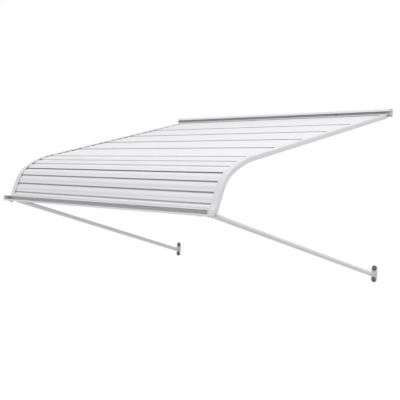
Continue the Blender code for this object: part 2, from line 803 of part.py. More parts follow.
def make_pivot(side, sign, bolt_material, spacer_material):
    """The bolt that hangs an arm on the rail's web, with its spacer, washer and nut."""
    place = (0.0, PIVOT_Y, PIVOT_Z)
    tongue_out = ARM_PLACE + TONGUE_THICKNESS / 2 + GAP
    tongue_in = ARM_PLACE - TONGUE_THICKNESS / 2 - GAP
    washer_in = tongue_in - WASHER_THICKNESS
    nut_in = washer_in - GAP - NUT_THICKNESS
    head = RAIL_HALF_SPAN + GAP
    spacer = tube(SPACER_RADIUS, BORE, sign * tongue_out, sign * (WEB_INSIDE - GAP), SMALL_ROUND)
    add_piece(f"arm_spacer_{side}", spacer, spacer_material, True, place)
    washer = tube(WASHER_RADIUS, BORE, sign * washer_in, sign * tongue_in, SMALL_ROUND)
    add_piece(f"arm_washer_{side}", washer, bolt_material, True, place)
    nut = add_piece(
        f"arm_nut_{side}",
        prism(circle(NUT_RADIUS, HEX), sign * nut_in, sign * (washer_in - GAP)),
        bolt_material,
        False,
        place,
    )
    bored(nut, BORE, sign * (nut_in - GAP), sign * washer_in, (0.0, 0.0))
    bolt = add_piece(
        f"arm_bolt_{side}",
        turned(
            [
                (sign * (nut_in - BOLT_END), 0.0),
                (sign * (nut_in - BOLT_END), BOLT_RADIUS),
                (sign * (head + BOLT_HEAD / 2), BOLT_RADIUS),
                (sign * (head + BOLT_HEAD / 2), 0.0),
            ],
            SMALL_ROUND,
        ),
        bolt_material,
        False,
        place,
    )
    combine(bolt, prism(circle(BOLT_HEAD_RADIUS, HEX), sign * head, sign * (head + BOLT_HEAD)), "UNION")


def make_foot(side, sign, material, pin_material, washer_material, screw_material):
    """One wall foot: plate with two ears, the arm's pin, and its screws with washers."""
    pin = (sign * ARM_PLACE, -FOOT_PIN_OUT, FOOT_PIN_Z)
    outline = stadium(FOOT_HEIGHT / 2, FOOT_WIDTH / 2, SMALL_ROUND)
    plate = prism(outline, -FOOT_PIN_OUT, -FOOT_PIN_OUT + FOOT_PLATE)
    quarter = Matrix.Rotation(-math.pi / 2, 4, "Z")
    foot = add_piece(f"wall_foot_{side}", moved(plate, quarter), material, False, pin)
    ear_in = TONGUE_THICKNESS / 2 + GAP
    ear_out = ear_in + EAR_THICKNESS
    root = FOOT_PIN_OUT - FOOT_PLATE / 2
    ear = round_nose(EAR_RADIUS, SMALL_ROUND) + [(root, -EAR_RADIUS), (root, EAR_RADIUS)]
    for x in (-1, 1):
        combine(foot, prism(ear, x * ear_in, x * ear_out), "UNION")
    bored(foot, PIN_RADIUS + GAP, -2 * ear_out, 2 * ear_out, (0.0, 0.0))
    head = ear_out + GAP
    rivet = turned(
        [
            (-head - PIN_HEAD, 0.0),
            (-head - PIN_HEAD, PIN_HEAD_RADIUS * PIN_CROWN),
            (-head, PIN_HEAD_RADIUS),
            (-head, PIN_RADIUS),
            (head, PIN_RADIUS),
            (head, PIN_HEAD_RADIUS),
            (head + PIN_HEAD, PIN_HEAD_RADIUS * PIN_CROWN),
            (head + PIN_HEAD, 0.0),
        ],
        SMALL_ROUND,
    )
    add_piece(f"foot_pin_{side}", rivet, pin_material, True, pin)
    face = FOOT_PIN_OUT - FOOT_PLATE
    for level, up in (("upper", 1), ("lower", -1)):
        height = up * FOOT_SCREW_SPREAD / 2
        spot = Matrix.Translation((0.0, 0.0, height)) @ quarter
        shank = SCREW_RADIUS + GAP
        hole = prism(circle(shank, SMALL_ROUND), -FOOT_PIN_OUT - FOOT_PLATE, -FOOT_PIN_OUT + 2 * FOOT_PLATE)
        combine(foot, moved(hole, spot), "DIFFERENCE")
        out = -face + GAP
        washer = tube(FOOT_WASHER_RADIUS, shank, out, out + FOOT_WASHER_THICKNESS, SMALL_ROUND)
        add_piece(f"foot_washer_{level}_{side}", moved(washer, spot), washer_material, True, pin)
        seat = out + FOOT_WASHER_THICKNESS + GAP
        screw = turned(
            [
                (-FOOT_PIN_OUT, 0.0),
                (-FOOT_PIN_OUT, SCREW_RADIUS),
                (seat, SCREW_RADIUS),
                (seat, FOOT_SCREW_HEAD_RADIUS),
                (seat + FOOT_SCREW_HEAD / 2, FOOT_SCREW_HEAD_RADIUS),
                (seat + FOOT_SCREW_HEAD, FOOT_SCREW_HEAD_RADIUS * SCREW_CROWN),
                (seat + FOOT_SCREW_HEAD, 0.0),
            ],
            SMALL_ROUND,
        )
        add_piece(f"foot_screw_{level}_{side}", moved(screw, spot), screw_material, True, pin)


def main():
    """Build the canopy from the wall outwards."""
    clear_scene()
    enamel = make_material("white_enamel", (0.84, 0.85, 0.87), 0.35, 0.1)
    rail_enamel = make_material("rail_enamel", (0.88, 0.88, 0.89), 0.32, 0.1)
    cap_grey = make_material("cap_grey", (0.42, 0.43, 0.45), 0.5, 0.0)
    plug_white = make_material("plug_white", (0.80, 0.80, 0.80), 0.5, 0.0)
    arm_enamel = make_material("arm_enamel", (0.70, 0.71, 0.73), 0.35, 0.2)
    zinc = make_material("zinc_grey", (0.36, 0.37, 0.39), 0.45, 0.8)
    dark = make_material("washer_dark", (0.10, 0.10, 0.11), 0.6, 0.0)
    steel = make_material("fastener_steel", (0.55, 0.56, 0.58), 0.35, 1.0)
    make_header(rail_enamel, cap_grey)
    make_panels(enamel)
    make_front_bar(rail_enamel, plug_white, rail_enamel, steel)
    for side, sign in (("left", -1), ("right", 1)):
        make_side_rail(side, sign, rail_enamel)
        make_corner_key(side, sign, rail_enamel, steel)
        make_pivot(side, sign, steel, arm_enamel)
        make_arm(side, sign, arm_enamel, arm_enamel)
        make_foot(side, sign, zinc, steel, dark, steel)


main()
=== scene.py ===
"""Looks of the aluminum door canopy.

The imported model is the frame: it gives the bodies, the joints and the place of each piece.
This script makes the fine surfaces of the sheets, rails, bar, arms and feet, gives every
piece its finish, and sets the camera, the lights and the floor. Metres throughout.

What follows the roof is laid out flat first, with x across the width, y = -s along the
roof from the wall, and z = n over its face. A node group then bends it along the roof's
slope and arcs. Pieces on a pin are made about that pin and carried to it.
"""

import json
import logging
import math
from collections.abc import Callable, Sequence
from dataclasses import dataclass, field, fields
from enum import Enum

import bmesh
import bpy
from mathutils import Matrix, Vector


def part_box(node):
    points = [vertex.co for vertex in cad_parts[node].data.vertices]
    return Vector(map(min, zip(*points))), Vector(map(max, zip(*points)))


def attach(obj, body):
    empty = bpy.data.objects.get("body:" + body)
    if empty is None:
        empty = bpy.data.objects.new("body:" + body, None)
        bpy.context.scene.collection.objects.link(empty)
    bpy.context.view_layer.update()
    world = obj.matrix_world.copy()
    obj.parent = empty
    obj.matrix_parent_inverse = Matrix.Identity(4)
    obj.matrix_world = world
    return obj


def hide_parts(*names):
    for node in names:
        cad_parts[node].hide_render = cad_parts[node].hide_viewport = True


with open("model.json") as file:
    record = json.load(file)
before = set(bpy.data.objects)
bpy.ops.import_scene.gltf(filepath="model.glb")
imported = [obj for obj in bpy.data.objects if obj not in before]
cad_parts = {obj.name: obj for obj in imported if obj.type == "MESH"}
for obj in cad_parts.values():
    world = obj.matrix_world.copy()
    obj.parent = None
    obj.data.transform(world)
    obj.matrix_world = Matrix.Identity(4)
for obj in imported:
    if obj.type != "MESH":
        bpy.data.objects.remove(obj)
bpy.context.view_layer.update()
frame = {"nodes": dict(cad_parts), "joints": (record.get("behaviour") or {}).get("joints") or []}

LOG = logging.getLogger("canopy")

Corner = tuple[float, float, float]
Colour = tuple[float, float, float]
Line = list[Vector]
Solid = bmesh.types.BMesh
Socket = bpy.types.NodeSocket
WHITE = (1.0, 1.0, 1.0, 1.0)
SHADE = "shade"
SHARP_EDGE = math.radians(35)
ARC_REACH = 0.48
LATHE_SIDES = 48
MERGE_DISTANCE = 1e-6
CUT_TOLERANCE = 1e-7
CROSS_ARM = 0.55
CROSS_WIDTH = 0.13
CROSS_DEPTH = 0.35
TO_WALL = Matrix.Rotation(math.pi / 2, 4, "Z")
FROM_WALL = Matrix.Rotation(-math.pi / 2, 4, "Z")
UPRIGHT = Matrix.Rotation(-math.pi / 2, 4, "Y")


class Side(Enum):
    """The two ends of the canopy, with the sign of their X."""

    LEFT = -1
    RIGHT = 1

    @property
    def label(self) -> str:
        """The word that node names use."""
        return self.name.lower()


class Join(Enum):
    """What a boolean does with its tool."""

    ADD = "UNION"
    CUT = "DIFFERENCE"
    KEEP = "INTERSECT"


class Crown(Enum):
    """The profile of a screw's head, in shares of its height and of its radius."""

    PAN = ((0.0, 1.0), (0.4, 1.0), (0.8, 0.8), (1.0, 0.45))
    ROUND = ((0.0, 0.97), (0.12, 1.0), (0.45, 1.0), (0.75, 0.86), (0.95, 0.6), (1.0, 0.4))


def rounded(corners: Sequence[Corner], closed: bool, steps: int = 5) -> Line:
    """Round the corners of a line with arcs.

    Args:
        corners: Corner points, each with the radius of its bend.
        closed: Whether the last corner joins the first.
        steps: Pieces of each arc.

    Returns:
        The points of the line with its arcs.
    """
    line: Line = []
    last = len(corners) - 1
    for i, (a, b, radius) in enumerate(corners):
        corner = Vector((a, b))
        if radius == 0.0 or (not closed and i in (0, last)):
            line.append(corner)
            continue
        back = Vector(corners[i - 1][:2]) - corner
        ahead = Vector(corners[(i + 1) % len(corners)][:2]) - corner
        half = back.angle(ahead) / 2
        reach = min(radius / math.tan(half), ARC_REACH * back.length, ARC_REACH * ahead.length)
        inward = (back.normalized() + ahead.normalized()).normalized()
        middle = corner + inward * (reach / math.cos(half))
        first = corner + back.normalized() * reach - middle
        final = corner + ahead.normalized() * reach - middle
        sweep = math.atan2(first.x * final.y - first.y * final.x, first.dot(final))
        line += [middle + turned_by(first, sweep * k / steps) for k in range(steps + 1)]
    return line


def turned_by(vector: Vector, angle: float) -> Vector:
    """A flat vector turned by an angle."""
    return Matrix.Rotation(angle, 2) @ vector


def thickened(line: Line, thickness: float) -> Line:
    """Give a middle line the thickness of a sheet.

    Args:
        line: The sheet's open middle line.
        thickness: The sheet's thickness.

    Returns:
        The closed outline of the sheet.
    """
    sides: tuple[Line, Line] = ([], [])
    for i, point in enumerate(line):
        before = line[i - 1] if i else 2 * point - line[1]
        after = line[i + 1] if i < len(line) - 1 else 2 * point - line[-2]
        into = (point - before).normalized()
        away = (after - point).normalized()
        across = Vector((-into.y - away.y, into.x + away.x)).normalized()
        stretch = thickness / 2 / (across.y * into.x - across.x * into.y)
        sides[0].append(point + across * stretch)
        sides[1].append(point - across * stretch)
    return sides[0] + sides[1][::-1]


def divided(outline: Line, step: float) -> Line:
    """Add points along a closed outline so that it can bend.

    Args:
        outline: The closed outline.
        step: The longest piece that is left.

    Returns:
        The outline with more points.
    """
    line: Line = []
    for start, end in zip(outline, outline[1:] + outline[:1]):
        parts = max(1, math.ceil((end - start).length / step))
        line += [start.lerp(end, k / parts) for k in range(parts)]
    return line


def box(a0: float, a1: float, b0: float, b1: float, radius: float = 0.0) -> Line:
    """The outline of an upright rectangle with equal radii."""
    return rounded([(a0, b0, radius), (a1, b0, radius), (a1, b1, radius), (a0, b1, radius)], closed=True)


def half_turn(steps: int) -> list[float]:
    """The angles of a half circle."""
    return [math.pi * i / steps for i in range(steps + 1)]


def circle(radius: float, sides: int = 32) -> Line:
    """The points of a circle."""
    turn = [math.tau * i / sides for i in range(sides)]
    return [Vector((radius * math.cos(angle), radius * math.sin(angle))) for angle in turn]


def tongue_outline(radius: float, root: float, steps: int = 24) -> Line:
    """The outline of a tongue that is round about the origin and square at its root."""
    nose = [Vector((-radius * math.sin(angle), radius * math.cos(angle))) for angle in half_turn(steps)]
    return [*nose, Vector((root, -radius)), Vector((root, radius))]


def skin(rings: Sequence[Sequence[Vector]], wrap: bool = False) -> Solid:
    """Join closed rings of points into one closed solid.

    Args:
        rings: Rings with the same number of points, in order.
        wrap: Whether the last ring joins the first instead of both being capped.

    Returns:
        The solid.
    """
    mesh = bmesh.new()
    made = [[mesh.verts.new(point) for point in ring] for ring in rings]
    pairs = list(zip(made, made[1:]))
    if wrap:
        pairs.append((made[-1], made[0]))
    else:
        mesh.faces.new(made[0])
        mesh.faces.new(made[-1][::-1])
    for low, high in pairs:
        for i in range(len(low)):
            j = (i + 1) % len(low)
            mesh.faces.new((low[i], high[i], high[j], low[j]))
    bmesh.ops.recalc_face_normals(mesh, faces=mesh.faces)
    return mesh


def extruded(outline: Line, x0: float, x1: float) -> Solid:
    """A solid with one outline in (y, z) from x0 to x1."""
    return skin([[Vector((x, p.x, p.y)) for p in outline] for x in (x0, x1)])


def lathed(profile: Sequence[Sequence[float]], sides: int = LATHE_SIDES, hollow: bool = False) -> Solid:
    """Turn a profile of (x, radius) points about X.

    Args:
        profile: A closed loop if hollow, otherwise a line between two flat ends.
        sides: Faces around the axis.
        hollow: Whether the profile is a closed loop.

    Returns:
        The turned solid.
    """
    turn = circle(1.0, sides)
    rings = [[Vector((x, radius * c.x, radius * c.y)) for c in turn] for x, radius in map(Vector, profile)]
    return skin(rings, wrap=hollow)


def softened(mesh: Solid, width: float, segments: int = 2) -> Solid:
    """Round the sharp edges of a solid.

    Args:
        mesh: The solid, which is changed.
        width: Width of the rounding.
        segments: Faces across each rounded edge.

    Returns:
        The same solid.
    """
    sharp = [edge for edge in mesh.edges if len(edge.link_faces) == 2
             and edge.calc_face_angle() > SHARP_EDGE]
    bmesh.ops.bevel(mesh, geom=sharp, offset=width, segments=segments, profile=0.5,
                    affect="EDGES", clamp_overlap=True)
    return mesh


def carried(mesh: Solid, *matrices: Matrix) -> Solid:
    """Carry a solid by matrices, the last one first.

    Args:
        mesh: The solid, which is changed.
        matrices: Where it goes, as a product.

    Returns:
        The same solid.
    """
    whole = Matrix.Identity(4)
    for matrix in matrices:
        whole = whole @ matrix
    bmesh.ops.transform(mesh, matrix=whole, verts=mesh.verts)
    if whole.determinant() < 0:
        bmesh.ops.reverse_faces(mesh, faces=mesh.faces)
    return mesh


def on_side(mesh: Solid, side: Side) -> Solid:
    """A right piece, mirrored if it goes to the left."""
    return carried(mesh, Matrix.Diagonal((side.value, 1.0, 1.0, 1.0)))


def shaded(mesh: Solid, amount: Callable[[Vector], float]) -> Solid:
    """Store how much painted shade each point of a solid holds.

    Args:
        mesh: The solid, which is changed.
        amount: Gives the share at a point, from 0 to 1.

    Returns:
        The same solid.
    """
    layer = mesh.verts.layers.float.new(SHADE)
    for vert in mesh.verts:
        vert[layer] = amount(vert.co)
    return mesh


def linked(name: str, data: bpy.types.ID) -> bpy.types.Object:
    """A new object in the scene.

    Args:
        name: The object's name.
        data: What it shows.

    Returns:
        The linked object.
    """
    thing = bpy.data.objects.new(name, data)
    bpy.context.scene.collection.objects.link(thing)
    return thing


def helper(name: str, mesh: Solid) -> bpy.types.Object:
    """A helper object that no render shows.

    Args:
        name: The helper's name.
        mesh: Its solid, which is freed.

    Returns:
        The linked object.
    """
    data = bpy.data.meshes.new(name)
    mesh.to_mesh(data)
    mesh.free()
    return linked(name, data)


def read_back(thing: bpy.types.Object) -> Solid:
    """The evaluated solid of a helper, which is then removed.

    Args:
        thing: The helper.

    Returns:
        The solid.
    """
    graph = bpy.context.evaluated_depsgraph_get()
    data = bpy.data.meshes.new_from_object(thing.evaluated_get(graph))
    bpy.data.objects.remove(thing)
    mesh = bmesh.new()
    mesh.from_mesh(data)
    bpy.data.meshes.remove(data)
    return mesh


def combined(base: Solid, tool: Solid, join: Join) -> Solid:
    """Join a tool to a solid or cut it out.

    Args:
        base: The solid, which is freed.
        tool: The tool, which is freed.
        join: What the boolean does with the tool.

    Returns:
        The new solid.
    """
    thing = helper("base", base)
    other = helper("tool", tool)
    boolean = thing.modifiers.new("Boolean", "BOOLEAN")
    boolean.operation = join.value
    boolean.object = other
    result = read_back(thing)
    bpy.data.objects.remove(other)
    return result


def cross_screw(start: Sequence[tuple[float, float]], seat: float, head: float, height: float,
                crown: Crown = Crown.PAN) -> Solid:
    """A screw along X with a cross recess in its head.

    Args:
        start: The profile of its shank, as (x, radius) points.
        seat: Where its head starts.
        head: The head's radius.
        height: The head's height.
        crown: The head's profile.

    Returns:
        The screw.
    """
    shank = start[-1][1]
    profile = [*start, (seat, shank), *((seat + height * up, head * out) for up, out in crown.value)]
    screw = lathed(profile)
    arm, slot, depth = head * CROSS_ARM, head * CROSS_WIDTH, head * CROSS_DEPTH
    for turn in (0.0, math.pi / 2):
        blade = extruded(box(-arm, arm, -slot, slot), seat + height - depth, seat + height + depth)
        screw = combined(screw, carried(blade, Matrix.Rotation(turn, 4, "X")), Join.CUT)
    return screw


def hinge(name: str) -> Vector:
    """Where a joint's pin is."""
    return Vector(next(joint["pos_m"] for joint in frame["joints"] if joint["name"] == name))


def feed(tree: bpy.types.NodeTree, socket: Socket, value: object) -> None:
    """Link a socket to another one, or give it a fixed value.

    Args:
        tree: The tree that holds it.
        socket: The input to feed.
        value: A socket or a fixed value.
    """
    if isinstance(value, Socket):
        tree.links.new(value, socket)
    else:
        socket.default_value = value


def arithmetic(tree: bpy.types.NodeTree, operation: str, *terms: object) -> Socket:
    """The result of one arithmetic node.

    Args:
        tree: The tree that holds it.
        operation: What the node does.
        terms: A socket or a number for each input.

    Returns:
        The node's output.
    """
    made = tree.nodes.new("ShaderNodeMath")
    made.operation = operation
    for socket, term in zip(made.inputs, terms):
        feed(tree, socket, term)
    return made.outputs[0]


class TreeWriter:
    """Writes one geometry node tree and runs it on helper objects."""

    def __init__(self, name: str) -> None:
        """Start an empty tree with a geometry output.

        Args:
            name: The tree's name.
        """
        self.tree = bpy.data.node_groups.new(name, "GeometryNodeTree")
        self.inputs = self.tree.nodes.new("NodeGroupInput")
        self.outputs = self.tree.nodes.new("NodeGroupOutput")
        self.tree.interface.new_socket(name="Geometry", in_out="OUTPUT", socket_type="NodeSocketGeometry")
        self.identifiers: dict[str, str] = {}

    def named(self, name: str, kind: str = "Float") -> Socket:
        """Add a named input.

        Args:
            name: The input's name.
            kind: Float, Int, Vector, Object, Material or Geometry.

        Returns:
            The socket that gives the input's value.
        """
        item = self.tree.interface.new_socket(name=name, in_out="INPUT", socket_type=f"NodeSocket{kind}")
        self.identifiers[name] = item.identifier
        return self.inputs.outputs[name]

    def node(self, kind: str, settings: dict[str, object] | None = None,
             **sockets: object) -> bpy.types.Node:
        """Add a node.

        Args:
            kind: The node's type after GeometryNode, or its full type.
            settings: Properties of the node.
            sockets: Values or links, by input name with _ for a space.

        Returns:
            The node.
        """
        full = kind if kind.startswith(("ShaderNode", "FunctionNode")) else f"GeometryNode{kind}"
        made = self.tree.nodes.new(full)
        for key, value in (settings or {}).items():
            setattr(made, key, value)
        for key, value in sockets.items():
            name = key.replace("_", " ")
            several = value if isinstance(value, list) else [value]
            for one in several:
                feed(self.tree, made.inputs[name], one)
        return made

    def sum(self, operation: str, *terms: object) -> Socket:
        """The result of one arithmetic node in this tree."""
        return arithmetic(self.tree, operation, *terms)

    def finish(self, geometry: Socket) -> None:
        """Realize what the tree made, set its material and send it out.

        Args:
            geometry: The geometry to send out.
        """
        realized = self.node("RealizeInstances", Geometry=geometry).outputs["Geometry"]
        material = self.named("Material", "Material")
        dressed = self.node("SetMaterial", Geometry=realized, Material=material)
        self.tree.links.new(dressed.outputs["Geometry"], self.outputs.inputs["Geometry"])

    def run(self, thing: bpy.types.Object, values: dict[str, object]) -> Solid:
        """Run the tree on a helper.

        Args:
            thing: The helper, which is removed.
            values: The values of the named inputs.

        Returns:
            The solid that the tree makes.
        """
        modifier = thing.modifiers.new(self.tree.name, "NODES")
        modifier.node_group = self.tree
        for name, value in values.items():
            modifier[self.identifiers[name]] = value
        return read_back(thing)


@dataclass(frozen=True)
class RoofProfile:
    """The line that the sheets and the rails follow, from the wall to the front bar."""

    start_z: float = -0.0065
    slope: float = math.radians(16.2)
    roof_run: float = 0.914
    eave_radius: float = 0.330
    eave_turn: float = math.radians(23.0)
    shoulder_radius: float = 0.127
    shoulder_turn: float = math.radians(30.0)
    front_radius: float = 1.000
    front_turn: float = math.radians(3.6)

    def values(self) -> dict[str, float]:
        """The sizes by the names of the tree's inputs."""
        return {one.name.replace("_", " ").title(): getattr(self, one.name) for one in fields(self)}

    @property
    def front_angle(self) -> float:
        """How steep the front is."""
        return self.slope + self.eave_turn + self.shoulder_turn + self.front_turn


def write_bend() -> TreeWriter:
    """Write the tree that bends a flat layout along the roof.

    Returns:
        The tree, whose inputs are the sizes of the roof profile.
    """
    writer = TreeWriter("bend_along_roof")
    geometry = writer.named("Geometry", "Geometry")
    size = {name: writer.named(name) for name in RoofProfile().values()}
    place = writer.node("ShaderNodeSeparateXYZ", Vector=writer.node("InputPosition").outputs[0])
    along = writer.sum("MULTIPLY", place.outputs["Y"], -1.0)
    angle = size["Slope"]
    roof = writer.sum("MINIMUM", along, size["Roof Run"])
    y = writer.sum("MULTIPLY", roof, writer.sum("COSINE", angle))
    z = writer.sum("MULTIPLY", roof, writer.sum("SINE", angle))
    z = writer.sum("SUBTRACT", size["Start Z"], z)
    start, swings = size["Roof Run"], angle
    for name in ("Eave", "Shoulder", "Front"):
        radius, turn = size[f"{name} Radius"], size[f"{name} Turn"]
        past = writer.sum("DIVIDE", writer.sum("SUBTRACT", along, start), radius)
        swing = writer.sum("MAXIMUM", 0.0, writer.sum("MINIMUM", past, turn))
        ahead = writer.sum("ADD", angle, swing)
        out = writer.sum("SUBTRACT", writer.sum("SINE", ahead), writer.sum("SINE", angle))
        down = writer.sum("SUBTRACT", writer.sum("COSINE", ahead), writer.sum("COSINE", angle))
        y = writer.sum("MULTIPLY_ADD", radius, out, y)
        z = writer.sum("MULTIPLY_ADD", radius, down, z)
        start = writer.sum("MULTIPLY_ADD", radius, turn, start)
        angle = writer.sum("ADD", angle, turn)
        swings = writer.sum("ADD", swings, swing)
    rest = writer.sum("MAXIMUM", 0.0, writer.sum("SUBTRACT", along, start))
    y = writer.sum("MULTIPLY_ADD", rest, writer.sum("COSINE", angle), y)
    z = writer.sum("SUBTRACT", z, writer.sum("MULTIPLY", rest, writer.sum("SINE", angle)))
    height = place.outputs["Z"]
    y = writer.sum("MULTIPLY_ADD", height, writer.sum("SINE", swings), y)
    z = writer.sum("MULTIPLY_ADD", height, writer.sum("COSINE", swings), z)
    y = writer.sum("MULTIPLY", y, -1.0)
    bent = writer.node("ShaderNodeCombineXYZ", X=place.outputs["X"], Y=y, Z=z)
    moved = writer.node("SetPosition", Geometry=geometry, Position=bent.outputs[0])
    writer.finish(moved.outputs[0])
    return writer


def write_sheet(bend: TreeWriter) -> TreeWriter:
    """Write the tree that carries a flat section across the width and bends it.

    Args:
        bend: The tree that bends a flat layout along the roof.

    Returns:
        The tree. Its helper holds one face, the section, in the plane x = 0.
    """
    writer = TreeWriter("sheet_on_roof")
    section = writer.named("Section", "Geometry")
    start, half = writer.named("Start"), writer.named("Half Length")
    shift = writer.node("ShaderNodeCombineXYZ", X=writer.sum("MULTIPLY", half, -1.0),
                        Y=writer.sum("MULTIPLY", start, -1.0))
    first = writer.node("SetPosition", Geometry=section, Offset=shift.outputs[0]).outputs[0]
    across = writer.node("ShaderNodeCombineXYZ", X=writer.sum("MULTIPLY", half, 2.0))
    swept = writer.node("ExtrudeMesh", Mesh=first, Offset=across.outputs[0], Offset_Scale=1.0)
    swept.inputs["Individual"].default_value = False
    base = writer.node("FlipFaces", Mesh=first).outputs[0]
    joined = writer.node("JoinGeometry", Geometry=[swept.outputs["Mesh"], base]).outputs[0]
    closed = writer.node("MergeByDistance", Geometry=joined, Distance=MERGE_DISTANCE).outputs[0]
    group = writer.tree.nodes.new("GeometryNodeGroup")
    group.node_tree = bend.tree
    feed(writer.tree, group.inputs["Geometry"], closed)
    for name in RoofProfile().values():
        feed(writer.tree, group.inputs[name], writer.named(name))
    writer.finish(group.outputs[0])
    return writer


def write_row() -> TreeWriter:
    """Write the tree that sets a row of equal small pieces.

    Returns:
        The tree. Its helper holds one piece, modelled about the origin.
    """
    writer = TreeWriter("row_of_pieces")
    piece = writer.named("Piece", "Geometry")
    count = writer.named("Count", "Int")
    first, step = writer.named("First", "Vector"), writer.named("Step", "Vector")
    row = writer.node("MeshLine", Count=count, Start_Location=first, Offset=step)
    placed = writer.node("InstanceOnPoints", Points=row.outputs[0], Instance=piece)
    writer.finish(placed.outputs[0])
    return writer


def write_pair() -> TreeWriter:
    """Write the tree that sets one turned piece at each end of the canopy.

    Returns:
        The tree. Its helper holds the right piece about the origin, with +X outwards.
    """
    writer = TreeWriter("pair_of_pieces")
    piece, right = writer.named("Piece", "Geometry"), writer.named("Right", "Vector")
    mirror = writer.node("ShaderNodeVectorMath", {"operation": "MULTIPLY"})
    feed(writer.tree, mirror.inputs[0], right)
    mirror.inputs[1].default_value = (-1.0, 1.0, 1.0)
    scaled = writer.node("Transform", Geometry=piece, Scale=(-1.0, 1.0, 1.0)).outputs[0]
    turned = writer.node("FlipFaces", Mesh=scaled).outputs[0]
    sides = [writer.node("Transform", Geometry=solid, Translation=place).outputs[0]
             for solid, place in ((piece, right), (turned, mirror.outputs[0]))]
    writer.finish(writer.node("JoinGeometry", Geometry=sides).outputs[0])
    return writer


@dataclass(frozen=True)
class Finish:
    """A finish that a material slot names, built once as a node material.

    The colour varies softly by cloud, the roughness by haze, and the surface has grain.
    """

    slot: str
    colour: Colour
    roughness: float
    metallic: float = 0.0
    cloud: float = 0.02
    cloud_scale: float = 6.0
    haze: float = 0.05
    haze_scale: float = 40.0
    grain: float = 0.05
    grain_scale: float = 900.0
    grain_depth: float = 0.0002
    stretch: tuple[float, float, float] = (1.0, 1.0, 1.0)
    waves: float = 0.0
    wave_scale: float = 3.2
    wave_depth: float = 0.004
    coat: float = 0.0
    coat_roughness: float = 0.25
    # The next two fields darken the colour where the shade attribute is stored: painted shade.
    dust: float = 0.0
    dust_tone: float = 0.1

    def material(self) -> bpy.types.Material:
        """Build the node material, or find it if it is built.

        Returns:
            The material.
        """
        name = f"{self.slot}_finish"
        found = bpy.data.materials.get(name)
        if found:
            return found
        made = bpy.data.materials.new(name)
        made.use_nodes = True
        nodes, links = made.node_tree.nodes, made.node_tree.links
        shader = nodes["Principled BSDF"]
        shader.inputs["Metallic"].default_value = self.metallic
        shader.inputs["Coat Weight"].default_value = self.coat
        shader.inputs["Coat Roughness"].default_value = self.coat_roughness
        place = nodes.new("ShaderNodeTexCoord").outputs["Object"]
        stretched = nodes.new("ShaderNodeMapping")
        stretched.inputs["Scale"].default_value = self.stretch
        links.new(place, stretched.inputs["Vector"])
        clouds = self.noise(made, place, self.cloud_scale, detail=3.0)
        tint = nodes.new("ShaderNodeMix")
        tint.data_type = "RGBA"
        tint.inputs["A"].default_value = (*(part * (1 - self.cloud) for part in self.colour), 1.0)
        tint.inputs["B"].default_value = (*(min(1.0, part * (1 + self.cloud)) for part in self.colour), 1.0)
        links.new(clouds, tint.inputs["Factor"])
        links.new(self.dusted(made, tint.outputs["Result"]), shader.inputs["Base Color"])
        hazy = nodes.new("ShaderNodeMapRange")
        hazy.inputs["To Min"].default_value = self.roughness - self.haze
        hazy.inputs["To Max"].default_value = self.roughness + self.haze
        hazes = self.noise(made, stretched.outputs[0], self.haze_scale, detail=4.0)
        links.new(hazes, hazy.inputs["Value"])
        links.new(hazy.outputs["Result"], shader.inputs["Roughness"])
        normal = shader.inputs["Normal"]
        grains = self.noise(made, stretched.outputs[0], self.grain_scale, detail=2.0)
        layers = [(self.grain, self.grain_depth, grains)]
        if self.waves:
            swells = self.noise(made, place, self.wave_scale, detail=1.0)
            layers.append((self.waves, self.wave_depth, swells))
        for strength, depth, height in layers:
            bump = nodes.new("ShaderNodeBump")
            bump.inputs["Strength"].default_value = strength
            bump.inputs["Distance"].default_value = depth
            links.new(height, bump.inputs["Height"])
            links.new(bump.outputs["Normal"], normal)
            normal = bump.inputs["Normal"]
        return made

    def dusted(self, made: bpy.types.Material, colour: Socket) -> Socket:
        """Paint shade: darken a colour where the piece stores shade.

        Args:
            made: The material.
            colour: The colour of its open faces.

        Returns:
            The colour with its painted shade.
        """
        if not self.dust:
            return colour
        nodes, links = made.node_tree.nodes, made.node_tree.links
        stored = nodes.new("ShaderNodeAttribute")
        stored.attribute_name = SHADE
        share = arithmetic(made.node_tree, "MULTIPLY", stored.outputs["Fac"], self.dust)
        mix = nodes.new("ShaderNodeMix")
        mix.data_type = "RGBA"
        mix.inputs["B"].default_value = (*(part * self.dust_tone for part in self.colour), 1.0)
        links.new(share, mix.inputs["Factor"])
        links.new(colour, mix.inputs["A"])
        return mix.outputs["Result"]

    @staticmethod
    def noise(made: bpy.types.Material, place: Socket, scale: float, detail: float) -> Socket:
        """Add a noise texture to a material.

        Args:
            made: The material.
            place: The coordinates that the noise reads.
            scale: The noise's scale.
            detail: The noise's detail.

        Returns:
            The noise's factor.
        """
        node = made.node_tree.nodes.new("ShaderNodeTexNoise")
        node.inputs["Scale"].default_value = scale
        node.inputs["Detail"].default_value = detail
        made.node_tree.links.new(place, node.inputs["Vector"])
        return node.outputs["Fac"]


# The shade attribute darkens the sheet and rail enamels and the plated steel: painted shade in seams,
# grooves, under lips and flanges, on the side rails and on screw heads.
SHEET_ENAMEL = Finish("pan_enamel", (0.84, 0.84, 0.86), 0.38, haze=0.06, waves=0.08, coat=0.15,
                      grain=0.006, stretch=(0.06, 1.0, 1.0), dust=0.75)
RAIL_ENAMEL = Finish("rail_enamel", (0.88, 0.88, 0.90), 0.36, grain=0.008, coat=0.15, dust=0.6)
ARM_ENAMEL = Finish("arm_enamel", (0.78, 0.78, 0.79), 0.36, grain=0.008, coat=0.15)
CAP_PLASTIC = Finish("cap_grey", (0.58, 0.59, 0.61), 0.55, grain=0.3, grain_scale=1800.0)
PLUG_PLASTIC = Finish("plug_white", (0.80, 0.80, 0.80), 0.5, grain=0.2, grain_scale=1800.0)
ZINC = Finish("zinc_grey", (0.66, 0.67, 0.69), 0.45, metallic=0.4, cloud=0.10, cloud_scale=160.0,
              haze=0.1, haze_scale=220.0, grain=0.12, grain_scale=700.0)
SEAL_RUBBER = Finish("washer_dark", (0.10, 0.10, 0.11), 0.62, cloud=0.1, grain=0.3, grain_scale=1400.0)
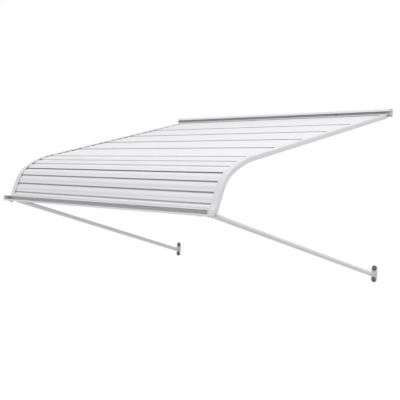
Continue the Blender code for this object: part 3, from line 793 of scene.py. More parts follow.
PLATED_STEEL = Finish("fastener_steel", (0.55, 0.56, 0.58), 0.33, metallic=1.0, cloud=0.05,
                      cloud_scale=300.0, haze=0.08, haze_scale=300.0, grain=0.1, grain_scale=1500.0,
                      dust=0.9)


@dataclass
class Workshop:
    """Finishes solids as named pieces and hands them to the frame."""

    sharp_angle: float = math.radians(32)
    delivered: int = 0

    def deliver(self, name: str, mesh: Solid, finish: Finish, body: str, *nodes: str) -> None:
        """Turn a solid into a piece that rides on a body and stands for CAD nodes.

        Args:
            name: The piece's name.
            mesh: The solid, which is freed.
            finish: The piece's finish.
            body: The body that it rides on.
            nodes: The CAD nodes that it replaces.
        """
        data = bpy.data.meshes.new(name)
        bmesh.ops.recalc_face_normals(mesh, faces=mesh.faces)
        mesh.to_mesh(data)
        mesh.free()
        data.materials.clear()
        data.materials.append(finish.material())
        data.shade_smooth()
        data.set_sharp_from_angle(angle=self.sharp_angle)
        piece = linked(name, data)
        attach(piece, body)
        if nodes:
            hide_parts(*nodes)
        self.delivered += 1
        LOG.info("%s: %d faces on %s", name, len(data.polygons), body)

    def deliver_sides(self, stem: str, form: str, make: Callable[[], Solid], finish: Finish) -> None:
        """Make a piece of the canopy body on each side, in place of that side's CAD node.

        Args:
            stem: The CAD nodes' name without its side.
            form: What is added to a node's name for its piece.
            make: Makes the right one.
            finish: The finish.
        """
        for side in Side:
            node = f"{stem}_{side.label}"
            self.deliver(f"{node}_{form}", on_side(make(), side), finish, "canopy", node)

    def dress(self, node: str, finish: Finish) -> None:
        """Give a CAD node that stays its finish.

        Args:
            node: The node's name.
            finish: The finish.
        """
        thing = frame["nodes"][node]
        thing.data.materials.clear()
        thing.data.materials.append(finish.material())
        LOG.info("%s keeps its solid", node)


@dataclass
class RoofLine:
    """The roof profile with the trees that lay pieces on it."""

    profile: RoofProfile = field(default_factory=RoofProfile)

    def __post_init__(self) -> None:
        """Write the trees once."""
        self.bend = write_bend()
        self.sheet = write_sheet(self.bend)

    def laid(self, outline: Line, half: float, start: float,
             shade: Callable[[Vector], float]) -> Solid:
        """Carry a flat outline across the width and bend it along the roof.

        Args:
            outline: Closed outline in (s, n).
            half: Half its length across the width.
            start: Added to the outline's s.
            shade: Gives the shade at a point (0, -s, n) of the outline.

        Returns:
            The bent solid.
        """
        face = bmesh.new()
        face.faces.new([face.verts.new((0.0, -p.x, p.y)) for p in outline])
        shaded(face, shade)
        values = {"Start": start, "Half Length": half, **self.profile.values()}
        return self.sheet.run(helper("section", face), values)

    def bent(self, flat: Solid) -> Solid:
        """Bend a solid that is laid out flat."""
        return self.bend.run(helper("flat", flat), self.profile.values())


@dataclass
class RoofSheets:
    """The roof pans, the eave pan and the front slats, hooked into one another."""

    line: RoofLine
    shop: Workshop
    web_inside: float = 0.6559
    pitch: float = 0.0421
    pan_flats: tuple[int, ...] = (5, 4, 4, 4, 4)
    eave_flats: tuple[float, ...] = (0.75, 0.75)
    slats: int = 5
    last_flat: float = 0.65
    sheet: float = 0.0009
    gap: float = 0.0003
    lap: float = 0.010
    reveal: float = 0.0055
    step: float = 0.0018
    bead_height: float = 0.0016
    bead_foot: float = 0.42
    bead_top: float = 0.24
    groove_depth: float = 0.0012
    groove_width: float = 0.004
    top_hem: float = 0.012
    fold_radius: float = 0.0011
    bead_radius: float = 0.014
    bend_step: float = 0.004
    header_depth: float = 0.019
    header_shelf: float = -0.0172
    header_shade: float = 1.0
    header_shade_width: float = 0.006
    seam_shades: tuple[float, ...] = (1.0, 1.0, 1.0, 1.0, 1.0, 0.0, 0.0, 1.0, 0.7, 0.75, 0.5)
    cover_x: float = 0.6295
    cover_fade: float = 0.0015
    cover_shade: float = 0.9

    @property
    def top_s(self) -> float:
        """Where the roof leaves the header."""
        return self.header_depth / math.cos(self.line.profile.slope)

    @property
    def layer(self) -> float:
        """Height of one sheet and its gap in a seam."""
        return self.sheet + self.gap

    def hook(self) -> list[Corner]:
        """The upper edge, which grips the return of the pan above.

        Returns:
            The corners of its middle line.
        """
        half, fold, layer = self.sheet / 2, self.fold_radius, self.layer
        back = -self.lap - self.gap - half
        front = self.reveal + half
        return [
            (-layer, -layer - half, 0.0),
            (back, -layer - half, fold),
            (back, -3 * layer - half, fold),
            (front, -3 * layer - half, fold),
            (front, -self.step - half, fold),
        ]

    def hem(self) -> list[Corner]:
        """The upper edge of the first pan, a leg behind the header's upstand.

        Returns:
            The corners of its middle line.
        """
        profile = self.line.profile
        fall = profile.start_z - (self.top_s - self.top_hem) * math.sin(profile.slope)
        leg = (fall - self.header_shelf - self.gap) / math.cos(profile.slope)
        leg -= self.sheet * math.tan(profile.slope)
        return [(-self.top_hem, -leg, 0.0), (-self.top_hem, -self.sheet / 2, self.fold_radius)]

    def face(self, flats: Sequence[float], drop: float) -> tuple[list[Corner], float]:
        """The face of a pan: a bead on each flat and a groove between flats.

        Args:
            flats: Widths of the flats as shares of the pitch.
            drop: How much lower the face starts than it ends.

        Returns:
            The corners of the middle line and the length of the face.
        """
        length = self.pitch * sum(flats)
        flat_from = length - self.lap - 3 * self.layer
        rise = drop / flat_from
        start = 0.0
        corners: list[Corner] = []
        for i, share in enumerate(flats):
            reach = share * self.pitch
            middle = start + reach / 2
            foot, top = reach * self.bead_foot / 2, reach * self.bead_top / 2
            if i:
                soft = self.groove_width / 3
                corners += [
                    (start - self.groove_width / 2, 0.0, soft),
                    (start, -self.groove_depth, soft),
                    (start + self.groove_width / 2, 0.0, soft),
                ]
            corners += [
                (middle - foot, 0.0, self.bead_radius),
                (middle - top, self.bead_height, self.bead_radius),
                (middle + top, self.bead_height, self.bead_radius),
                (middle + foot, 0.0, self.bead_radius),
            ]
            start += reach
        return [(s, n - self.sheet / 2 - max(0.0, flat_from - s) * rise, r) for s, n, r in corners], length

    def nose(self, end: float) -> list[Corner]:
        """The lower edge: a nose and a return that the next pan grips.

        Args:
            end: Where the face ends.

        Returns:
            The corners of its middle line.
        """
        half, fold = self.sheet / 2, self.fold_radius
        low = -2 * self.layer - half
        return [(end - half, -half, fold), (end - half, low, fold), (end - self.lap, low, 0.0)]

    def seam_shade(self, place: Vector, length: float, drop: float, shades: tuple[float, float]) -> float:
        """How dark a point of a flat section is: only the open seams' sides and floors are.

        Args:
            place: The point (0, -s, n).
            length: The length of the face.
            drop: How much lower the face starts than it ends.
            shades: How dark the seams at its upper and its lower edge are.

        Returns:
            The share of shade.
        """
        s = -place.y
        if self.reveal + self.sheet < s < length - 2 * self.sheet:
            return 0.0
        upper = s < length / 2
        depth = (-drop if upper else 0.0) - place.z
        share = max(0.0, min(1.0, (depth - 0.5 * self.sheet) / self.sheet))
        return share * shades[0 if upper else 1]

    def header_edge_shade(self, place: Vector) -> float:
        """How dark a point of the first pan is: only the strip under the header's lip is."""
        return self.header_shade * max(0.0, 1.0 + place.y / self.header_shade_width)

    def shade_ends(self, sheet: Solid) -> Solid:
        """Darken a sheet's ends, which lie in the gap under the rails' flanges.

        Args:
            sheet: The bent sheet, which is changed.

        Returns:
            The same sheet.
        """
        covered = self.cover_x + self.cover_fade
        for x in (-covered, -self.cover_x, self.cover_x, covered):
            bmesh.ops.bisect_plane(sheet, geom=[*sheet.verts, *sheet.edges, *sheet.faces],
                                   plane_co=(x, 0.0, 0.0), plane_no=(1.0, 0.0, 0.0), dist=CUT_TOLERANCE)
        layer = sheet.verts.layers.float[SHADE]
        for vert in sheet.verts:
            if abs(vert.co.x) > covered - self.cover_fade / 2:
                vert[layer] = self.cover_shade
        return sheet

    def build(self) -> None:
        """Make every pan and slat as its own piece, from the wall outwards."""
        plan = [(f"roof_pan_{i + 1}", (1.0,) * flats) for i, flats in enumerate(self.pan_flats)]
        plan.append(("eave_pan", self.eave_flats))
        plan += [(f"front_slat_{i + 1}", (1.0,)) for i in range(self.slats)]
        plan.append((f"front_slat_{self.slats + 1}", (self.last_flat,)))
        start = self.top_s
        for i, (node, flats) in enumerate(plan):
            drop = self.step if i else 0.0
            face, length = self.face(flats, drop)
            upper = self.hook() if i else self.hem()
            middle = rounded(upper + face + self.nose(length), closed=False)
            outline = divided(thickened(middle, self.sheet), self.bend_step)
            shades = (0.0, *self.seam_shades, 0.0)[i:i + 2]
            solid = self.line.laid(
                outline, self.web_inside - self.gap, start,
                lambda place: self.seam_shade(place, length, drop, shades)
                + (0.0 if i else self.header_edge_shade(place)))
            self.shop.deliver(f"{node}_sheet", self.shade_ends(solid), SHEET_ENAMEL, "canopy", node)
            start += length


@dataclass
class SideRails:
    """The two bent side rails: flange, web, the shelf under the sheets, and a lip."""

    line: RoofLine
    shop: Workshop
    half_span: float = 0.6575
    wall: float = 0.0016
    flange: float = 0.028
    depth: float = 0.018
    shelf: float = 0.020
    lip: float = 0.008
    face: float = 0.0035
    shelf_face: float = -0.0048
    edge_radius: float = 0.0011
    inner_radius: float = 0.0005
    top_s: float = 0.0201
    panel_end_s: float = 1.2049
    end_s: float = 1.2289
    notch_start: float = 0.002
    step: float = 0.005
    bolt_hole: float = 0.0033
    bolt_place: tuple[float, float] = (1.2154, -0.0065)
    rivet_hole: float = 0.0023
    rivet_place: tuple[float, float] = (0.045, -0.00965)
    screw_hole: float = 0.0024
    screw_s: float = 1.2135
    # An even painted shade that makes the rails darker than the header in the same enamel.
    grime: float = 0.2

    def section(self) -> Line:
        """The right rail's outline in (x, n).

        Returns:
            The closed outline.
        """
        outer, inner = self.half_span, self.half_span - self.wall
        base = self.face - self.depth
        edge, soft = self.edge_radius, self.inner_radius
        return rounded([
            (outer, self.face, edge),
            (outer - self.flange, self.face, soft),
            (outer - self.flange, self.face - self.wall, soft),
            (inner, self.face - self.wall, soft),
            (inner, self.shelf_face, soft),
            (outer - self.shelf, self.shelf_face, soft),
            (outer - self.shelf, self.shelf_face - self.wall, soft),
            (inner, self.shelf_face - self.wall, soft),
            (inner, base + self.wall, soft),
            (outer - self.lip, base + self.wall, soft),
            (outer - self.lip, base, soft),
            (outer, base, edge),
        ], closed=True, steps=4)

    def flat_rail(self) -> Solid:
        """The right rail laid out flat, with its notch and its holes.

        Returns:
            The flat solid.
        """
        section = self.section()
        slope = math.tan(self.line.profile.slope)
        count = math.ceil((self.end_s - self.top_s) / self.step)
        rings = []
        for i in range(count + 1):
            s = self.top_s + (self.end_s - self.top_s) * i / count
            shear = slope if i == 0 else 0.0
            rings.append([Vector((p.x, -s + p.y * shear, p.y)) for p in section])
        rail = skin(rings)
        notch_s = self.panel_end_s + self.notch_start
        inner = self.half_span - self.wall
        notch = box(-self.end_s - self.wall, -notch_s,
                    self.shelf_face - 2 * self.wall, self.shelf_face + self.wall)
        rail = combined(rail, extruded(notch, self.half_span - self.shelf - self.wall, inner), Join.CUT)
        for radius, (s, n) in ((self.bolt_hole, self.bolt_place), (self.rivet_hole, self.rivet_place)):
            drill = extruded(circle(radius), inner - self.wall, self.half_span + self.wall)
            rail = combined(rail, carried(drill, Matrix.Translation((0.0, -s, n))), Join.CUT)
        drill = carried(
            extruded(circle(self.screw_hole), -2 * self.wall, self.wall),
            Matrix.Translation((self.half_span - self.flange / 2, -self.screw_s, self.face)), UPRIGHT)
        return combined(rail, drill, Join.CUT)

    def build(self) -> None:
        """Make both rails, evenly darkened with painted shade."""
        flat = shaded(self.flat_rail(), lambda place: self.grime)
        self.shop.deliver_sides("side_rail", "bent", lambda: self.line.bent(flat.copy()), RAIL_ENAMEL)
        flat.free()
        for side in Side:
            self.shop.dress(f"corner_key_{side.label}", RAIL_ENAMEL)


@dataclass
class HeaderRail:
    """The wall rail with its groove, and an end cap at each end."""

    line: RoofLine
    shop: Workshop
    row: TreeWriter
    half: float = 0.6715
    depth: float = 0.019
    top: float = 0.0155
    base: float = -0.019
    wall: float = 0.0018
    fascia_base: float = 0.0055
    gutter_floor: float = -0.0064
    upstand_out: float = 0.0115
    upstand_height: float = 0.004
    cap: float = 0.0016
    cap_margin: float = 0.001
    cap_edge: float = 0.0005
    cap_round: float = 0.003
    cap_wall_round: float = 0.0008
    boss: float = 0.008
    boss_round: float = 0.001
    gap: float = 0.0003
    radius: float = 0.0005
    edge_radius: float = 0.0012
    hole_radius: float = 0.0028
    hole_z: float = -0.0005
    hole_edge: float = 0.0415
    holes: int = 6
    screw_shank: float = 0.0021
    screw_head: float = 0.0045
    screw_height: float = 0.0026
    groove_shade: float = 0.8
    gutter_shade: float = 0.3
    lip_shade: float = 0.9
    screw_shade: float = 0.6

    def section(self) -> Line:
        """The header's outline in (y, z).

        Returns:
            The closed outline.
        """
        wall, soft, edge = self.wall, self.radius, self.edge_radius
        shelf = self.base + wall
        slot = -self.depth + wall
        lip, up = self.lip_z, -self.upstand_out
        return rounded([
            (0.0, self.base, soft), (-self.depth, self.base, edge), (-self.depth, shelf, soft),
            (up, shelf, soft), (up, shelf + self.upstand_height, soft),
            (up + wall, shelf + self.upstand_height, soft), (up + wall, shelf, soft), (-wall, shelf, soft),
            (-wall, self.gutter_floor - wall, soft), (slot, self.gutter_floor - wall, soft),
            (slot, lip, 0.0), (-self.depth, lip, 0.0), (-self.depth, self.gutter_floor, soft),
            (-wall, self.gutter_floor, soft), (-wall, self.top - wall, soft),
            (slot, self.top - wall, soft), (slot, self.fascia_base, soft),
            (-self.depth, self.fascia_base, soft), (-self.depth, self.top, edge), (0.0, self.top, soft),
        ], closed=True, steps=4)

    @property
    def lip_z(self) -> float:
        """The lower edge of the lip that covers the first pan's upper end."""
        profile = self.line.profile
        return profile.start_z + (self.wall - self.depth) * math.tan(profile.slope) + self.gap

    def shade(self, place: Vector) -> float:
        """How dark a point is: the groove's faces and the lip's lower edge are.

        Args:
            place: The point.

        Returns:
            The share of shade.
        """
        if place.z > self.gutter_floor - self.wall:
            amount = self.groove_shade if place.z > self.hole_z else self.gutter_shade
            return amount * float(place.y > -self.depth + 2 * self.wall)
        return self.lip_shade * float(abs(place.z - self.lip_z) < self.radius)

    def build(self) -> None:
        """Make the rail with its row of wall holes and screws, and the two caps."""
        rail = extruded(self.section(), -self.half, self.half)
        first = self.half - self.hole_edge
        places = {
            "Count": self.holes,
            "First": (-first, 0.0, self.hole_z),
            "Step": (2 * first / (self.holes - 1), 0.0, 0.0),
        }
        drill = carried(extruded(circle(self.hole_radius), -self.depth / 4, self.depth / 4), FROM_WALL)
        drills = self.row.run(helper("drill", drill), places)
        rail = shaded(combined(rail, drills, Join.CUT), self.shade)
        self.shop.deliver("header_rail_extrusion", rail, RAIL_ENAMEL, "canopy", "header_rail")
        screw = cross_screw([(0.0, self.screw_shank)], self.wall + self.gap,
                            self.screw_head, self.screw_height)
        screw = shaded(carried(screw, FROM_WALL), lambda place: self.screw_shade)
        screws = self.row.run(helper("screw", screw), places)
        self.shop.deliver("header_screws", screws, RAIL_ENAMEL, "canopy")
        self.shop.deliver_sides("header_cap", "moulded", self.end_cap, CAP_PLASTIC)

    def end_cap(self) -> Solid:
        """The right cap: a plate with a boss that plugs the header's fascia.

        Returns:
            The solid.
        """
        low, high = self.base - self.cap_margin, self.top + self.cap_margin
        out, start = -self.depth - self.cap_margin, self.half + self.gap
        plate = rounded([
            (0.0, low, self.cap_wall_round), (out, low, self.cap_round),
            (out, high, self.cap_round), (0.0, high, self.cap_wall_round),
        ], closed=True, steps=6)
        cap = softened(extruded(plate, start, start + self.cap), self.cap_edge)
        boss = box(self.wall - self.depth + self.gap, -self.wall - self.gap,
                   self.fascia_base + self.gap, self.top - self.wall - self.gap, self.boss_round)
        return combined(cap, extruded(boss, start - self.boss, start + self.cap / 2), Join.ADD)


@dataclass
class FrontBar:
    """The open channel across the front, with its plugs and straps.

    Its outlines are in (out, down) from the upper back edge. Its back leans like the front.
    """

    line: RoofLine
    shop: Workshop
    wall: float = 0.0016
    top_lip: float = 0.0022
    base_lip: float = 0.007
    plug: float = 0.0018
    plug_boss: float = 0.008
    gap: float = 0.0003
    strap_place: float = 0.607
    strap_width: float = 0.006
    strap: float = 0.0012
    strap_tongue: float = 0.012
    strap_bend: float = 0.0015
    soft: float = 0.0005
    edge: float = 0.0018
    plug_edge: float = 0.0025
    boss_round: float = 0.001

    def __post_init__(self) -> None:
        """Read the bar's place and size from its CAD node."""
        low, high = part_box("front_bar")
        self.corner = high
        self.depth, self.height = high.y - low.y, high.z - low.z

    def back(self, down: float, off: float = 0.0) -> float:
        """How far out the leaning back is at a depth, and off square to it."""
        angle = self.line.profile.front_angle
        return down / math.tan(angle) + off / math.sin(angle)

    def placed(self, outline: Line) -> Line:
        """Turn an outline in (out, down) into one in (y, z)."""
        return [Vector((self.corner.y - p.x, self.corner.z - p.y)) for p in outline]

    def section(self) -> Line:
        """The channel's outline.

        Returns:
            The closed outline in (y, z).
        """
        wall, soft, edge = self.wall, self.soft, self.edge
        depth, height = self.depth, self.height
        inner = depth - wall
        return self.placed(rounded([
            (0.0, 0.0, edge), (depth, 0.0, edge), (depth, self.top_lip, soft), (inner, self.top_lip, soft),
            (inner, wall, soft), (self.back(wall, wall), wall, soft),
            (self.back(height - wall, wall), height - wall, soft), (inner, height - wall, soft),
            (inner, height - self.base_lip, soft), (depth, height - self.base_lip, soft),
            (depth, height, edge), (self.back(height), height, edge),
        ], closed=True, steps=4))

    def block(self, inset: float, radius: float) -> Line:
        """The outline of the space in the channel, inset from every side.

        Args:
            inset: Its distance from the channel's outside.
            radius: Radius of its corners.

        Returns:
            The closed outline in (y, z).
        """
        low, high = inset, self.height - inset
        return self.placed(rounded([
            (self.back(low, inset), low, radius), (self.depth - inset, low, radius),
            (self.depth - inset, high, radius), (self.back(high, inset), high, radius),
        ], closed=True))

    def strap_section(self) -> Line:
        """The outline of a strap bent round the channel.

        Returns:
            The closed outline in (y, z).
        """
        off, bend = self.gap + self.strap / 2, self.strap_bend
        under = self.height + off
        return self.placed(thickened(rounded([
            (self.strap_tongue, -off, 0.0), (self.back(-off, -off), -off, bend),
            (self.back(under, -off), under, bend), (self.depth + off, under, bend),
            (self.depth + off, self.height - self.base_lip, 0.0),
        ], closed=False, steps=5), self.strap))

    def build(self, screw_holes: Solid) -> None:
        """Make the channel, then the plug and the strap of each end.

        Args:
            screw_holes: The drills of the end screws, which are freed.
        """
        half = self.corner.x
        bar = combined(extruded(self.section(), -half, half), screw_holes, Join.CUT)
        self.shop.deliver("front_bar_extrusion", bar, RAIL_ENAMEL, "canopy", "front_bar")
        self.shop.deliver_sides("bar_plug", "moulded", self.end_plug, PLUG_PLASTIC)
        self.shop.deliver_sides("bar_strap", "bent", self.bent_strap, RAIL_ENAMEL)

    def end_plug(self) -> Solid:
        """The right plug: a plate on the bar's end with a boss in the channel.

        Returns:
            The solid.
        """
        start = self.corner.x + self.gap
        plate = softened(extruded(self.block(0.0, self.plug_edge), start, start + self.plug), self.soft)
        boss = self.block(self.wall + self.gap, self.boss_round)
        return combined(plate, extruded(boss, start - self.plug_boss, start + self.plug / 2), Join.ADD)

    def bent_strap(self) -> Solid:
        """The right strap round the channel."""
        start = self.strap_place - self.strap_width / 2
        return extruded(self.strap_section(), start, start + self.strap_width)


@dataclass
class SupportArms:
    """The two arms: a tube with an end fitting on each pin."""

    shop: Workshop
    radius: float = 0.0095
    wall: float = 0.0012
    tongue: float = 0.0064
    tongue_radius: float = 0.0065
    reach: float = 0.018
    collar: float = 0.002
    plug: float = 0.020
    gap: float = 0.0003
    bore: float = 0.0033
    crimp_place: float = 0.009
    crimp_width: float = 0.0022
    crimp_depth: float = 0.0004
    tongue_soft: float = 0.0007
    collar_edge: float = 0.0006
    plug_edge: float = 0.001
    fine_edge: float = 0.0002
    sides: int = 64

    def fitting(self) -> Solid:
        """An end fitting about its pin, with the arm along +Y.

        Returns:
            The solid.
        """
        half, collar = self.tongue / 2, self.reach - self.collar
        outline = tongue_outline(self.tongue_radius, self.reach - self.collar / 2)
        solid = softened(extruded(outline, -half, half), self.tongue_soft)
        bore, fine, end = self.radius - self.wall - self.gap, self.fine_edge, self.reach + self.plug
        stem = lathed([
            (collar, self.radius - self.collar_edge), (collar + self.collar_edge, self.radius),
            (self.reach - fine, self.radius), (self.reach, self.radius - fine), (self.reach, bore),
            (end - self.plug_edge, bore), (end, bore - self.plug_edge),
        ], self.sides)
        solid = combined(solid, carried(stem, TO_WALL), Join.ADD)
        return combined(solid, extruded(circle(self.bore), -self.tongue, self.tongue), Join.CUT)

    def tube(self, length: float) -> Solid:
        """The tube along +Y between the fittings' collars.

        Args:
            length: Distance between the two pins.

        Returns:
            The tube, open at both ends, with a rolled crimp over each plug.
        """
        outer, inner, fine = self.radius, self.radius - self.wall, self.fine_edge
        start, end = self.reach + self.gap, length - self.reach - self.gap
        low, half = outer - self.crimp_depth, self.crimp_width / 2
        profile = [(start, inner), (start, outer - fine), (start + fine, outer)]
        for middle in (start + self.crimp_place, end - self.crimp_place):
            profile += [(middle - half, outer), (middle - half / 2, low), (middle + half / 2, low),
                        (middle + half, outer)]
        profile += [(end - fine, outer), (end, outer - fine), (end, inner)]
        return carried(lathed(profile, self.sides, hollow=True), TO_WALL)

    def build(self) -> None:
        """Make both arms on their pins."""
        for side in Side:
            body, pivot = f"arm_{side.label}", hinge(f"arm_{side.label}_hinge")
            run = hinge(f"foot_{side.label}_hinge") - pivot
            place = Matrix.Translation(pivot) @ Matrix.Rotation(math.atan2(run.z, run.y), 4, "X")
            self.shop.deliver(f"{body}_tube_drawn", carried(self.tube(run.length), place),
                              ARM_ENAMEL, body, f"arm_tube_{side.label}")
            turned = Matrix.Translation((0.0, run.length, 0.0)) @ Matrix.Rotation(math.pi, 4, "Z")
            for end, turn in (("front", Matrix.Identity(4)), ("rear", turned)):
                self.shop.deliver(f"{body}_{end}_fitting", carried(self.fitting(), place, turn),
                                  ARM_ENAMEL, body, f"arm_{end}_end_{side.label}")


@dataclass
class Fasteners:
    """The bolts, nuts, washers, spacers, rivets and screws of the canopy body."""

    shop: Workshop
    pair: TreeWriter
    line: RoofLine
    bolt: float = 0.003
    head: float = 0.0055
    head_height: float = 0.003
    bore: float = 0.0033
    spacer: float = 0.0055
    spacer_edge: float = 0.0004
    washer: float = 0.006
    washer_edge: float = 0.0003
    nut: float = 0.0058
    chamfer: float = 0.0008
    chamfer_flat: float = 0.9
    chamfer_reach: float = 1.02
    thread_pitch: float = 0.001
    thread_depth: float = 0.0005
    thread_end: float = 0.0006
    threads: int = 9
    rivet: float = 0.002
    rivet_head: float = 0.0038
    rivet_height: float = 0.001
    dome_steps: int = 8
    shank: float = 0.0021
    seat: float = 0.0019
    screw_tip: float = -0.0045
    screw_point: float = 0.3
    screw_head: float = 0.0042
    screw_height: float = 0.0024
    screw_hole: float = 0.0024
    screw_x: float = 0.6435
    screw_s: float = 1.2135
    bar_back: float = 0.0038

    def hexagon(self, radius: float, x0: float, x1: float) -> Solid:
        """A hexagon along X with its corners turned away at both ends.

        Args:
            radius: Distance to its corners.
            x0: One end.
            x1: The other end.

        Returns:
            The solid.
        """
        flat, wide = radius * self.chamfer_flat, radius * self.chamfer_reach
        cone = lathed([(x0, flat), (x0 + self.chamfer, wide), (x1 - self.chamfer, wide), (x1, flat)])
        return combined(extruded(circle(radius, 6), x0, x1), cone, Join.KEEP)

    def set_pair(self, name: str, solid: Solid, finish: Finish, stem: str,
                 place: Vector | None = None) -> None:
        """Set a pair of pieces where the CAD nodes of that name are.

        Args:
            name: The new piece's name.
            solid: The right one about its place.
            finish: The finish.
            stem: The CAD nodes' name without its side.
            place: Where the right one goes, or the middle of its node.
        """
        if place is None:
            low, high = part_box(f"{stem}_right")
            place = (low + high) / 2
        both = self.pair.run(helper(name, solid), {"Right": place})
        self.shop.deliver(name, both, finish, "canopy", f"{stem}_left", f"{stem}_right")

    def span(self, node: str) -> float:
        """Half the length of a CAD node along X."""
        low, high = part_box(node)
        return (high.x - low.x) / 2

    def ring(self, node: str, outer: float, edge: float) -> Solid:
        """A turned ring as long as a CAD node, with its edges broken.

        Args:
            node: The node's name.
            outer: The ring's radius.
            edge: Radius of its outer edges.

        Returns:
            The solid.
        """
        half, inner = self.span(node), self.bore
        corners = [(-half, inner, 0.0), (half, inner, 0.0), (half, outer, edge), (-half, outer, edge)]
        return lathed(rounded(corners, closed=True, steps=3), hollow=True)

    def arm_bolt(self) -> Solid:
        """The arm bolt about the middle of its length, its head outwards.

        Returns:
            The solid.
        """
        half = self.span("arm_bolt_right")
        profile = [(-half, self.bolt - self.thread_end)]
        place = -half + self.thread_pitch / 2
        while place < -half + self.threads * self.thread_pitch:
            profile += [(place, self.bolt), (place + self.thread_pitch / 2, self.bolt - self.thread_depth)]
            place += self.thread_pitch
        shank = lathed([*profile, (place, self.bolt), (half - self.head_height / 2, self.bolt)])
        return combined(shank, self.hexagon(self.head, half - self.head_height, half), Join.ADD)

    def domed(self, half: float, radius: float, height: float, shank: float) -> Solid:
        """A pin with a low domed head at each end.

        Args:
            half: Half the whole length.
            radius: Radius of the heads.
            height: Height of the heads.
            shank: Radius of the pin.

        Returns:
            The solid.
        """
        turn = [math.pi / 2 * i / self.dome_steps for i in range(self.dome_steps, 0, -1)]
        dome = [(half - height + height * math.cos(angle), radius * math.sin(angle)) for angle in turn]
        right = [(half - height, shank), *dome]
        return lathed([(-x, out) for x, out in right[::-1]] + right)

    def build(self) -> None:
        """Make the fasteners of both sides as pairs."""
        self.set_pair("arm_bolts", self.arm_bolt(), PLATED_STEEL, "arm_bolt")
        half = self.span("arm_nut_right")
        hole = extruded(circle(self.bore, LATHE_SIDES), -2 * half, 2 * half)
        nut = combined(self.hexagon(self.nut, -half, half), hole, Join.CUT)
        self.set_pair("arm_nuts", nut, PLATED_STEEL, "arm_nut")
        self.set_pair("arm_washers", self.ring("arm_washer_right", self.washer, self.washer_edge),
                      PLATED_STEEL, "arm_washer")
        self.set_pair("arm_spacers", self.ring("arm_spacer_right", self.spacer, self.spacer_edge),
                      ARM_ENAMEL, "arm_spacer")
        rivet = self.domed(self.span("key_rivet_right"), self.rivet_head, self.rivet_height, self.rivet)
        self.set_pair("key_rivets", rivet, PLATED_STEEL, "key_rivet")
        tip = [(self.screw_tip, self.shank * self.screw_point), (self.screw_tip + self.shank, self.shank)]
        screw = cross_screw(tip, self.seat, self.screw_head, self.screw_height)
        self.set_pair("bar_screws", self.line.bent(carried(screw, self.square_to_front())),
                      PLATED_STEEL, "bar_screw", Vector((self.screw_x, 0.0, 0.0)))

    def square_to_front(self) -> Matrix:
        """Stand a solid along X on the flat layout, on the bar's back in the middle of its height."""
        return Matrix.Translation((0.0, -self.screw_s, self.bar_back)) @ UPRIGHT

    def bar_drills(self) -> Solid:
        """The drills of the end screws through the bar's back.

        Returns:
            Both drills as one solid.
        """
        drill = extruded(circle(self.screw_hole), -self.screw_hole, 2 * self.screw_hole)
        drill = self.line.bent(carried(drill, self.square_to_front()))
        return self.pair.run(helper("drill", drill), {"Right": (self.screw_x, 0.0, 0.0)})


